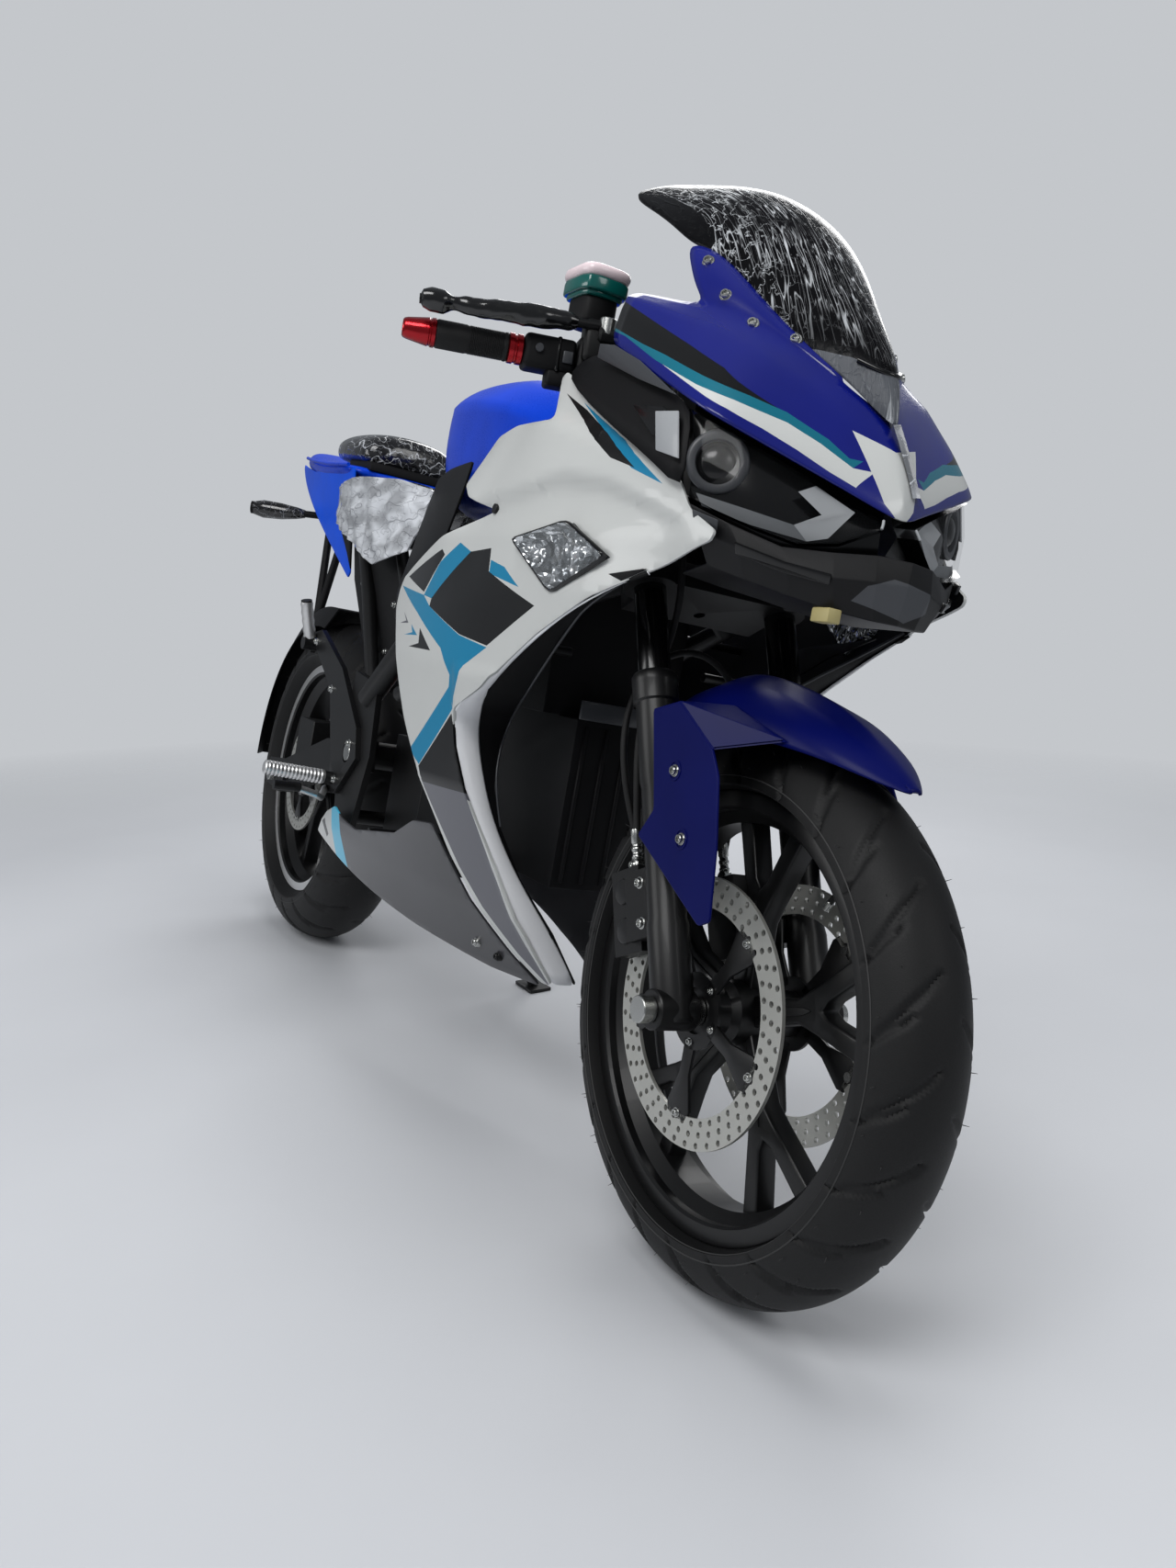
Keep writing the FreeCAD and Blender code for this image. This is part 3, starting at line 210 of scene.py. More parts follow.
class Net:
    """The nodes of one material."""

    def __init__(self, name: str) -> None:
        """Starts a material with its principled shader."""
        self.material = bpy.data.materials.new(name)
        self.material.use_nodes = True
        self.tree = self.material.node_tree
        self.shader = self.tree.nodes["Principled BSDF"]
        self.output = self.tree.nodes["Material Output"]

    def node(self, kind: str, settings: Optional[dict] = None, **sockets: object) -> bpy.types.Node:
        """Makes one node.

        Args:
            kind: The node's type without its ShaderNode prefix.
            settings: Properties that are set first.
            **sockets: Input values or links, by name with _ for a blank, or by index as s0, s1.

        Returns:
            The node.
        """
        made = self.tree.nodes.new("ShaderNode" + kind)
        for key, value in (settings or {}).items():
            setattr(made, key, value)
        for key, value in sockets.items():
            if key[0] == "s" and key[1:].isdigit():
                socket = made.inputs[int(key[1:])]
            else:
                socket = made.inputs[key.replace("_", " ")]
            self.feed(socket, value)
        return made

    def feed(self, socket: bpy.types.NodeSocket, value: object) -> None:
        """Sets or links one input."""
        if isinstance(value, Value):
            self.tree.links.new(value.socket, socket)
        elif isinstance(value, bpy.types.NodeSocket):
            self.tree.links.new(value, socket)
        else:
            socket.default_value = value

    def math(self, operation: str, *operands: object) -> Value:
        """One Math node."""
        sockets = {"s%d" % index: operand for index, operand in enumerate(operands)}
        return Value(self, self.node("Math", {"operation": operation}, **sockets).outputs[0])

    def object_place(self) -> bpy.types.NodeSocket:
        """Object coordinates in upright bike millimetres."""
        where, turn = STANCE.back()
        mapped = self.node("Mapping", {}, Vector=self.node("TexCoord").outputs["Object"],
                           Location=where, Rotation=turn, Scale=(METRE, METRE, METRE))
        return mapped.outputs[0]

    def axes(self, place: bpy.types.NodeSocket) -> Tuple[Value, Value, Value]:
        """The x, y and z of a place."""
        parts = self.node("SeparateXYZ", {}, s0=place).outputs
        return Value(self, parts[0]), Value(self, parts[1]), Value(self, parts[2])

    def noise(self, place: bpy.types.NodeSocket, scale: float, detail: float = 3.0,
              stretch: Point = (1.0, 1.0, 1.0)) -> Value:
        """Noise with a wavelength near 1 / scale millimetres."""
        mapped = self.node("Mapping", {}, Vector=place, Scale=stretch)
        made = self.node("TexNoise", {}, Vector=mapped.outputs[0], Scale=scale, Detail=detail)
        return Value(self, made.outputs["Fac"])

    def mix(self, factor: object, low: object, high: object) -> bpy.types.NodeSocket:
        """Mixes two colours by a factor."""
        made = self.tree.nodes.new("ShaderNodeMix")
        made.data_type = "RGBA"
        self.feed(made.inputs[0], factor)
        self.feed(made.inputs[6], low)
        self.feed(made.inputs[7], high)
        return made.outputs[2]

    def paint(self, colour: bpy.types.NodeSocket) -> None:
        """Links the base colour."""
        self.feed(self.shader.inputs["Base Color"], colour)

    def over(self, mask: Value, colour: Colour) -> None:
        """Paints a colour over the base colour where a mask is 1."""
        under = self.shader.inputs["Base Color"].links[0].from_socket
        self.paint(self.mix(mask, under, colour))

    def bump(self, height: Value, strength: float, depth: float) -> None:
        """Bumps the surface by a height, over a depth in metres."""
        made = self.node("Bump", {}, Height=height, Strength=strength, Distance=depth)
        self.tree.links.new(made.outputs[0], self.shader.inputs["Normal"])

    def inside(self, u: Value, v: Value, outline: Sequence[Pair]) -> Value:
        """1 inside a convex outline, going round either way.

        Args:
            u: First coordinate.
            v: Second coordinate.
            outline: Corner points in those coordinates.

        Returns:
            The mask.
        """
        area = sum(a[0] * b[1] - b[0] * a[1] for a, b in zip(outline, outline[1:] + outline[:1]))
        sign = 1.0 if area > 0 else -1.0
        nearest: Optional[Value] = None
        for (u0, v0), (u1, v1) in zip(outline, outline[1:] + outline[:1]):
            run = math.hypot(u1 - u0, v1 - v0)
            a, b = -sign * (v1 - v0) / run, sign * (u1 - u0) / run
            distance = u * a + (v * b + (-a * u0 - b * v0))
            nearest = distance if nearest is None else nearest.least(distance)
        return nearest > 0.0

    def above(self, u: Value, v: Value, line: Sequence[Pair]) -> Value:
        """1 where v lies over a broken line in u, from its first point to its last."""
        height: Optional[Value] = None
        for (u0, v0), (u1, v1) in zip(line, line[1:]):
            slope = (v1 - v0) / (u1 - u0)
            part = ((u - u0).most(0.0)).least(u1 - u0) * slope
            height = part if height is None else height + part
        return (v - (height + line[0][1])) > 0.0

    def between(self, u: Value, v: Value, low: Sequence[Pair], high: Sequence[Pair]) -> Value:
        """1 where v lies between two broken lines in u, over the low line's span."""
        span = (u > low[0][0]) - (u > low[-1][0])
        return (self.above(u, v, low) - self.above(u, v, high)) * span

    def folds(self, place: bpy.types.NodeSocket, scale: float, stretch: Point, width: float = 0.06,
              detail: float = 3.0) -> Value:
        """Thin lines where a noise crosses its middle, as the folds of crinkled film; a mask for
        painted fold highlights and for bumps.
        """
        crossing = (self.noise(place, scale, detail, stretch) - 0.5).size()
        return (1.0 - crossing * (1.0 / width)).most(0.0)


@dataclass(frozen=True)
class Finish:
    """One surface finish: its colour, gloss and fine detail."""

    name: str
    colour: Colour
    rough: float
    metal: float = 0.0
    coat: float = 0.0
    grain: float = 0.0
    grain_scale: float = 0.6
    mottle: float = 0.12
    shine: float = 0.5

    def net(self) -> Net:
        """Builds the material's common part.

        Returns:
            The net, whose colour may still be painted over.
        """
        net = Net(self.name)
        place = net.object_place()
        broad = net.noise(place, 0.011, 4.0)
        fine = net.noise(place, self.grain_scale, 4.0)
        shade = tuple(part * (1.0 - self.mottle) for part in self.colour[:3]) + (1.0,)
        net.paint(net.mix(broad, shade, self.colour))
        uneven = broad * (0.2 * self.rough) + 0.78 * self.rough
        net.feed(net.shader.inputs["Roughness"], fine * (0.25 * self.rough) + uneven)
        net.shader.inputs["Metallic"].default_value = self.metal
        net.shader.inputs["Coat Weight"].default_value = self.coat
        net.shader.inputs["Coat Roughness"].default_value = 0.03
        net.shader.inputs["Specular IOR Level"].default_value = self.shine
        if self.grain:
            net.bump(fine, self.grain, 0.0006)
        return net

    def material(self) -> bpy.types.Material:
        """The finished material, made once."""
        known = bpy.data.materials.get(self.name)
        return known if known else self.net().material


BLUE = Finish("cowl_paint", linear(7, 20, 118), 0.24, 0.0, 0.25, mottle=0.35, shine=0.4)
# A darker copy of the cowl's blue paint: painted shade, for the front mudguard that sits low in
# shade.
SHADED_BLUE = Finish("dark_blue_paint", linear(4, 12, 84), 0.36, 0.0, 0.0, mottle=0.35, shine=0.12)
# A lighter copy of the same blue paint: painted light, for the top-lit tank, tail cowl and tail
# creases.
TOP_LIT_BLUE = Finish("bright_blue_paint", linear(8, 66, 212), 0.28, 0.0, 0.04, mottle=0.4,
                     shine=0.15)
WHITE = Finish("white_paint", linear(194, 196, 194), 0.3, 0.0, 0.3, mottle=0.04)
SILVER = linear(88, 89, 96)
TEAL = linear(4, 122, 162)
DEEP_TEAL = linear(8, 100, 120)
INK = linear(7, 7, 8)
GLOSS_BLACK = Finish("gloss_black_plastic", linear(9, 9, 10), 0.2, 0.0, 0.15, shine=0.4)
SATIN_BLACK = Finish("satin_black_paint", linear(10, 10, 11), 0.4, 0.0, 0.05, 0.08, 1.2, shine=0.35)
CAST_BLACK = Finish("cast_black_paint", linear(10, 10, 11), 0.46, 0.0, 0.0, 0.25, 0.9, shine=0.35)
GRAIN_BLACK = Finish("grained_black_plastic", linear(12, 12, 14), 0.54, 0.0, 0.0, 0.35, 1.6,
                     shine=0.2)
GRAPHITE = Finish("graphite_plastic", linear(56, 58, 62), 0.4, 0.0, 0.1, 0.15, 1.6)
RUBBER = Finish("tyre_rubber", linear(10, 10, 11), 0.62, 0.0, 0.0, 0.3, 0.8, 0.25, shine=0.2)
SOFT_RUBBER = Finish("grip_rubber", linear(11, 11, 12), 0.6, 0.0, 0.0, 0.4, 1.5, shine=0.35)
STEEL = Finish("ground_disc_steel", linear(186, 186, 180), 0.34, 0.7)
ZINC = Finish("zinc_bolt_steel", linear(190, 191, 188), 0.26, 1.0, 0.0, 0.1, 0.9, 0.2)
ALLOY = Finish("bare_alloy", linear(176, 178, 182), 0.33, 1.0, 0.0, 0.15, 0.8, 0.12)
CHAIN_STEEL = Finish("chain_steel", linear(96, 92, 84), 0.42, 0.9, 0.0, 0.2, 0.9)
RED_ANODISED = Finish("red_anodised", linear(170, 18, 30), 0.25, 0.85, 0.3)
CAP_PINK = Finish("cap_plastic", linear(236, 218, 222), 0.3, 0.0, 0.3)
CUP_TEAL = Finish("cup_plastic", linear(5, 90, 84), 0.2, 0.0, 0.4)
BLACK_FILM = Finish("black_wrapping_film", linear(12, 12, 13), 0.18, 0.0, 0.5, 0.7, 0.05)
GUIDE_DARK = Finish("light_guide_arm", linear(104, 107, 110), 0.4, 0.0, 0.2)
GUIDE_PALE = Finish("light_guide_block", linear(160, 163, 166), 0.4, 0.0, 0.2)


# Shapes


def meshed(name: str, bm: Shape) -> bpy.types.Mesh:
    """Turns a shape into a mesh."""
    mesh = bpy.data.meshes.new(name)
    bm.to_mesh(mesh)
    bm.free()
    return mesh


def linked(name: str, data: bpy.types.ID) -> bpy.types.Object:
    """A new object in the scene."""
    made = bpy.data.objects.new(name, data)
    bpy.context.scene.collection.objects.link(made)
    return made


def pour(target: Shape, part: Shape) -> None:
    """Moves a shape into another one."""
    carrier = meshed("carrier", part)
    target.from_mesh(carrier)
    bpy.data.meshes.remove(carrier)


def spun(points: Sequence[Point], axis: Point, steps: int, closed: bool) -> Shape:
    """Spins a line of points about an axis through the origin."""
    bm = bmesh.new()
    verts = [bm.verts.new(point) for point in points]
    edges = [bm.edges.new(pair) for pair in zip(verts, verts[1:])]
    if closed:
        edges.append(bm.edges.new((verts[-1], verts[0])))
    bmesh.ops.spin(bm, geom=verts + edges, cent=ORIGIN, axis=axis, angle=math.tau, steps=steps,
                   use_merge=True)
    bmesh.ops.remove_doubles(bm, verts=bm.verts[:], dist=WELD)
    bmesh.ops.recalc_face_normals(bm, faces=bm.faces[:])
    return bm


def about_axle(part: Shape, turn: float, centre: Point) -> Shape:
    """Turns a part made over the origin round the wheel axis, and sets it on its centre."""
    bmesh.ops.rotate(part, verts=part.verts[:], cent=ORIGIN, matrix=Matrix.Rotation(turn, 3, "Y"))
    bmesh.ops.translate(part, verts=part.verts[:], vec=centre)
    return part


def lathe(profile: Sequence[Pair], centre: Point, steps: int) -> Shape:
    """Spins a ring of (y, radius) points about the wheel axis through a centre."""
    bm = spun([(0.0, y, r) for y, r in profile], (0, 1, 0), steps, True)
    bmesh.ops.translate(bm, verts=bm.verts[:], vec=centre)
    return bm


def turned(profile: Sequence[Pair], start: Point, toward: Point, steps: int = 24,
           closed: bool = False) -> Shape:
    """Spins a profile about any axis.

    Args:
        profile: (distance along the axis, radius) points.
        start: Where the axis starts.
        toward: The axis's direction.
        steps: Steps round the full turn.
        closed: Whether the profile is a ring; otherwise it starts and ends at radius 0.

    Returns:
        The turned shape.
    """
    bm = spun([(r, 0.0, along) for along, r in profile], (0, 0, 1), steps, closed)
    turn = Vector(toward).to_track_quat("Z", "Y").to_matrix().to_4x4()
    bmesh.ops.transform(bm, matrix=Matrix.Translation(start) @ turn, verts=bm.verts[:])
    return bm


def rounded_rod(start: Point, end: Point, radius: float, edge: float = 1.0,
                steps: int = 24) -> Shape:
    """A round bar between two points with softened ends."""
    along = Vector(end) - Vector(start)
    profile = [(0, 0), (0, radius - edge), (edge, radius), (along.length - edge, radius),
               (along.length, radius - edge), (along.length, 0)]
    return turned(profile, start, along, steps)


def bevelled(bm: Shape, width: float, segments: int = 2, sharp: float = 25.0) -> Shape:
    """Rounds the sharp edges of a shape."""
    edges = [edge for edge in bm.edges if edge.is_manifold
             and edge.calc_face_angle(0.0) > math.radians(sharp)]
    bmesh.ops.bevel(bm, geom=edges, offset=width, offset_type="OFFSET", affect="EDGES",
                    segments=segments, profile=0.5, material=-1, clamp_overlap=True)
    return bm


def pushed(bm: Shape, way: Point) -> Shape:
    """Gives a flat or curved skin a thickness."""
    grown = bmesh.ops.extrude_face_region(bm, geom=bm.faces[:])
    moved = [item for item in grown["geom"] if isinstance(item, bmesh.types.BMVert)]
    bmesh.ops.translate(bm, verts=moved, vec=way)
    bmesh.ops.recalc_face_normals(bm, faces=bm.faces[:])
    return bm


def prism(corners: Sequence[Point], push: Point, bevel: float = 1.5, segments: int = 2) -> Shape:
    """A flat outline pushed into a solid, with rounded edges."""
    bm = bmesh.new()
    bm.faces.new([bm.verts.new(corner) for corner in corners])
    return bevelled(pushed(bm, push), bevel, segments)


def side_plate(outline: Sequence[Pair], y0: float, y1: float, bevel: float = 1.5) -> Shape:
    """A side-view (x, z) outline as a plate from y0 to y1."""
    return prism([(x, y0, z) for x, z in outline], (0, y1 - y0, 0), bevel)


def box(low: Point, high: Point, bevel: float = 2.0, segments: int = 2) -> Shape:
    """A block between two corners with rounded edges."""
    bm = bmesh.new()
    bmesh.ops.create_cube(bm, size=1.0)
    bmesh.ops.scale(bm, vec=[b - a for a, b in zip(low, high)], verts=bm.verts[:])
    bmesh.ops.translate(bm, vec=[(a + b) / 2 for a, b in zip(low, high)], verts=bm.verts[:])
    return bevelled(bm, bevel, segments)


def tube(points: Sequence[Point], radius: float, smooth: bool = True, sides: int = 4) -> Shape:
    """A round tube along points, by a curve that is made a mesh."""
    curve = bpy.data.curves.new("tube", "CURVE")
    curve.dimensions = "3D"
    curve.bevel_depth = radius
    curve.bevel_resolution = sides
    curve.use_fill_caps = True
    curve.resolution_u = 8
    spline = curve.splines.new("NURBS" if smooth else "POLY")
    spline.points.add(len(points) - 1)
    for target, point in zip(spline.points, points):
        target.co = (*point, 1.0)
    if smooth:
        spline.order_u = 3
        spline.use_endpoint_u = True
    holder = bpy.data.objects.new("tube", curve)
    mesh = bpy.data.meshes.new_from_object(holder)
    bm = bmesh.new()
    bm.from_mesh(mesh)
    bpy.data.objects.remove(holder)
    bpy.data.curves.remove(curve)
    bpy.data.meshes.remove(mesh)
    bmesh.ops.remove_doubles(bm, verts=bm.verts[:], dist=0.01)
    bmesh.ops.recalc_face_normals(bm, faces=bm.faces[:])
    return bm


def sheet(rows: Sequence[Sequence[Point]]) -> Shape:
    """A sheet through rows of points, all rows of one length."""
    bm = bmesh.new()
    across, down = len(rows[0]), len(rows)
    bmesh.ops.create_grid(bm, x_segments=across - 1, y_segments=down - 1, size=1.0)
    ordered = sorted(bm.verts, key=lambda vert: (round(vert.co.y, 4), round(vert.co.x, 4)))
    for vert, point in zip(ordered, [point for row in rows for point in row]):
        vert.co = point
    return bm


def mirrored_rows(rows: Sequence[Sequence[Point]]) -> List[List[Point]]:
    """Completes rows that run from the right edge to the middle with their left half."""
    full = []
    for row in rows:
        rest = row[:-1] if abs(row[-1][1]) < TINY else row
        full.append(list(row) + [(x, -y, z) for x, y, z in reversed(rest)])
    return full


def bridged(rings: Sequence[Sequence[Point]]) -> Tuple[Shape, List[list]]:
    """A skin through rings of points, and each ring's edges."""
    bm = bmesh.new()
    loops = []
    for ring in rings:
        verts = [bm.verts.new(point) for point in ring]
        loops.append([bm.edges.new(pair) for pair in zip(verts, verts[1:] + verts[:1])])
    for low, high in zip(loops, loops[1:]):
        bmesh.ops.bridge_loops(bm, edges=low + high)
    return bm, loops


def closed_loft(rings: Sequence[Sequence[Point]]) -> Shape:
    """A solid through rings of points, closed at both ends."""
    bm, loops = bridged(rings)
    for loop in (loops[0], loops[-1]):
        bmesh.ops.contextual_create(bm, geom=loop)
    bmesh.ops.recalc_face_normals(bm, faces=bm.faces[:])
    return bm


def skin_panel(outline: Sequence[Pair], surface: Callable[[float, float], float],
               step: float) -> Shape:
    """A side panel: an outline in side view, laid on a curved skin.

    Args:
        outline: (x, z) corner points.
        surface: Gives the skin's y at a place in side view.
        step: Mesh size in millimetres.

    Returns:
        The panel's outer face.
    """
    bm = bmesh.new()
    bm.faces.new([bm.verts.new((x, 0.0, z)) for x, z in outline])
    for axis in (0, 2):
        low = min(vert.co[axis] for vert in bm.verts)
        high = max(vert.co[axis] for vert in bm.verts)
        count = int((high - low) / step)
        normal = [0.0, 0.0, 0.0]
        normal[axis] = 1.0
        for index in range(1, count + 1):
            place = [0.0, 0.0, 0.0]
            place[axis] = low + (high - low) * index / (count + 1)
            geom = bm.verts[:] + bm.edges[:] + bm.faces[:]
            bmesh.ops.bisect_plane(bm, geom=geom, dist=WELD, plane_co=place, plane_no=normal)
    for vert in bm.verts:
        vert.co.y = surface(vert.co.x, vert.co.z)
    bm.normal_update()
    if sum(face.normal.y for face in bm.faces) > 0:
        bmesh.ops.reverse_faces(bm, faces=bm.faces[:])
    return bm


def flipped(bm: Shape) -> Shape:
    """The left-hand twin of a right-hand shape, in place of it."""
    bmesh.ops.scale(bm, vec=(1, -1, 1), verts=bm.verts[:])
    bmesh.ops.reverse_faces(bm, faces=bm.faces[:])
    return bm


def corner_cut(outline: Sequence[Pair], radius: float) -> List[Pair]:
    """Rounds an outline's corners with a short arc of three points each."""
    rounded: List[Pair] = []
    count = len(outline)
    for index in range(count):
        here = Vector(outline[index])
        before, after = Vector(outline[index - 1]), Vector(outline[(index + 1) % count])
        back, ahead = before - here, after - here
        reach = min(radius, 0.4 * back.length, 0.4 * ahead.length)
        start = here + back.normalized() * reach
        end = here + ahead.normalized() * reach
        for part in (0.0, 0.5, 1.0):
            point = start * (1 - part) ** 2 + here * (2 * part * (1 - part)) + end * part ** 2
            rounded.append((point.x, point.y))
    return rounded


def crumpled(bm: Shape, size: float, depth: float) -> Shape:
    """Creases a skin like wrapping film, with folds of a size and a depth."""
    bm.normal_update()
    moves = []
    for vert in bm.verts:
        place = vert.co / size
        fold = 1.0 - 2.0 * abs(noise.noise(place)) + 0.5 * noise.noise(place * 2.7)
        moves.append(vert.normal * (depth * (fold - 0.6)))
    for vert, move in zip(bm.verts, moves):
        vert.co += move
    return bm


BOLT_PROFILE: Sequence[Pair] = ((-1, 0), (-1, 1.25), (0.12, 1.25), (0.22, 1.18), (0.22, 0.95),
                                (0.75, 0.9), (0.9, 0.78), (0.9, 0.5), (0.45, 0.44), (0.4, 0))


def bolt(place: Point, toward: Point, radius: float) -> Shape:
    """A socket bolt on its washer, with its seat at a place."""
    return turned([(along * radius, r * radius) for along, r in BOLT_PROFILE], place, toward, 20)


@dataclass
class Mould:
    """One piece in the making, in upright bike millimetres."""

    name: str
    body: str
    slot: str
    replaces: Tuple[str, ...] = ()
    bm: Shape = field(default_factory=bmesh.new)
    finishes: List[bpy.types.Material] = field(default_factory=list)

    def add(self, part: Shape, finish: object) -> None:
        """Adds a part in one finish."""
        material = finish.material() if isinstance(finish, Finish) else finish
        if material not in self.finishes:
            self.finishes.append(material)
        for face in part.faces:
            face.material_index = self.finishes.index(material)
        pour(self.bm, part)

    def on(self, side: Side) -> Callable[[Shape, object], None]:
        """The call that adds right-hand parts, or their twins for the left side."""
        def keep(part: Shape, finish: object) -> None:
            """Adds a right-hand part, or its twin on the left."""
            self.add(part if side is Side.RIGHT else flipped(part), finish)
        return keep

    @classmethod
    def of(cls, node: str, slot: str, body: str = "chassis") -> "Mould":
        """A mould whose piece stands for a CAD node."""
        return cls(node + "_dressed", body, slot, (node,))

    def puffed(self) -> bool:
        """Whether the piece was blown up as cloth, which leaves it finely meshed."""
        return len(self.bm.faces) > FINE_MESH

    def add_both(self, make: Callable[[], Shape], finish: object) -> None:
        """Adds a right-hand part and its left-hand twin."""
        self.add(make(), finish)
        self.add(flipped(make()), finish)

    def stand(self, wall: float = 0.0, edge: float = 0.0, smooth_levels: int = 0,
              sharp: float = 38.0, back: Optional[Finish] = None) -> bpy.types.Object:
        """Places the piece in the row frame and ties it to its body.

        Args:
            wall: Sheet thickness in millimetres, laid inwards.
            edge: Width of the rounding along sharp edges.
            smooth_levels: Subdivision levels.
            sharp: Angle in degrees past which an edge stays sharp.
            back: The finish of a sheet's inner face, if it differs.

        Returns:
            The piece's object.
        """
        self.bm.transform(STANCE.matrix())
        mesh = meshed(self.name, self.bm)
        for material in self.finishes:
            mesh.materials.append(material)
        if back is not None:
            mesh.materials.append(back.material())
        return tie(self, mesh, wall, edge, smooth_levels, sharp, len(self.finishes) if back else 0)


def tie(mould: Mould, mesh: bpy.types.Mesh, wall: float = 0.0, edge: float = 0.0,
        smooth_levels: int = 0, sharp: float = 32.0, back: int = 0) -> bpy.types.Object:
    """Makes a mesh a piece of the bike, with its modifiers and its body."""
    piece = linked(mould.name, mesh)
    mesh.polygons.foreach_set("use_smooth", [True] * len(mesh.polygons))
    if not smooth_levels:
        mesh.set_sharp_from_angle(angle=math.radians(sharp))
    if smooth_levels:
        subdivide = piece.modifiers.new("smooth", "SUBSURF")
        subdivide.levels = smooth_levels
        subdivide.render_levels = smooth_levels
    if wall:
        thicken = piece.modifiers.new("wall", "SOLIDIFY")
        thicken.thickness = wall / METRE
        thicken.offset = -1.0
        thicken.use_even_offset = False
        thicken.material_offset = back
    if edge:
        round_off = piece.modifiers.new("edge", "BEVEL")
        round_off.width = edge / METRE
        round_off.segments = 2
        round_off.limit_method = "ANGLE"
        round_off.angle_limit = math.radians(sharp)
    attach(piece, mould.body)
    if mould.replaces:
        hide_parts(*mould.replaces)
    LOG.info("piece %s: %d faces", mould.name, len(mesh.polygons))
    return piece


def slot_of(node: str) -> str:
    """The record's material slot of a CAD node."""
    return next(part["material_slot"] for part in frame["record"]["subparts"]
                if part["node"] == node)


def dressed(node: str, finish: object, edge: float = 1.0,
            extra: Optional[Mould] = None) -> bpy.types.Object:
    """A CAD node's own form with rounded edges and a finish.

    Args:
        node: The CAD node.
        finish: Its finish.
        edge: Width of the rounding in millimetres.
        extra: A mould with bolts and the like, whose piece joins this one.

    Returns:
        The piece that stands for the node.
    """
    source = frame["nodes"][node]
    bm = bmesh.new()
    bm.from_mesh(source.data)
    bmesh.ops.remove_doubles(bm, verts=bm.verts[:], dist=TINY)
    bmesh.ops.dissolve_limit(bm, angle_limit=math.radians(0.8), verts=bm.verts[:],
                             edges=bm.edges[:])
    for face in bm.faces:
        face.material_index = 0
    if extra is not None:
        extra.bm.transform(STANCE.matrix())
        for face in extra.bm.faces:
            face.material_index += 1
        pour(bm, extra.bm)
    mesh = meshed(node + "_dressed", bm)
    mesh.materials.append(finish.material() if isinstance(finish, Finish) else finish)
    for material in extra.finishes if extra is not None else []:
        mesh.materials.append(material)
    mould = Mould(node + "_dressed", source["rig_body"], slot_of(node), (node,))
    mould.bm.free()
    return tie(mould, mesh, edge=edge)


def extras() -> Mould:
    """An empty mould for the small parts of a dressed node."""
    return Mould("extras", "", "")


# Wheels


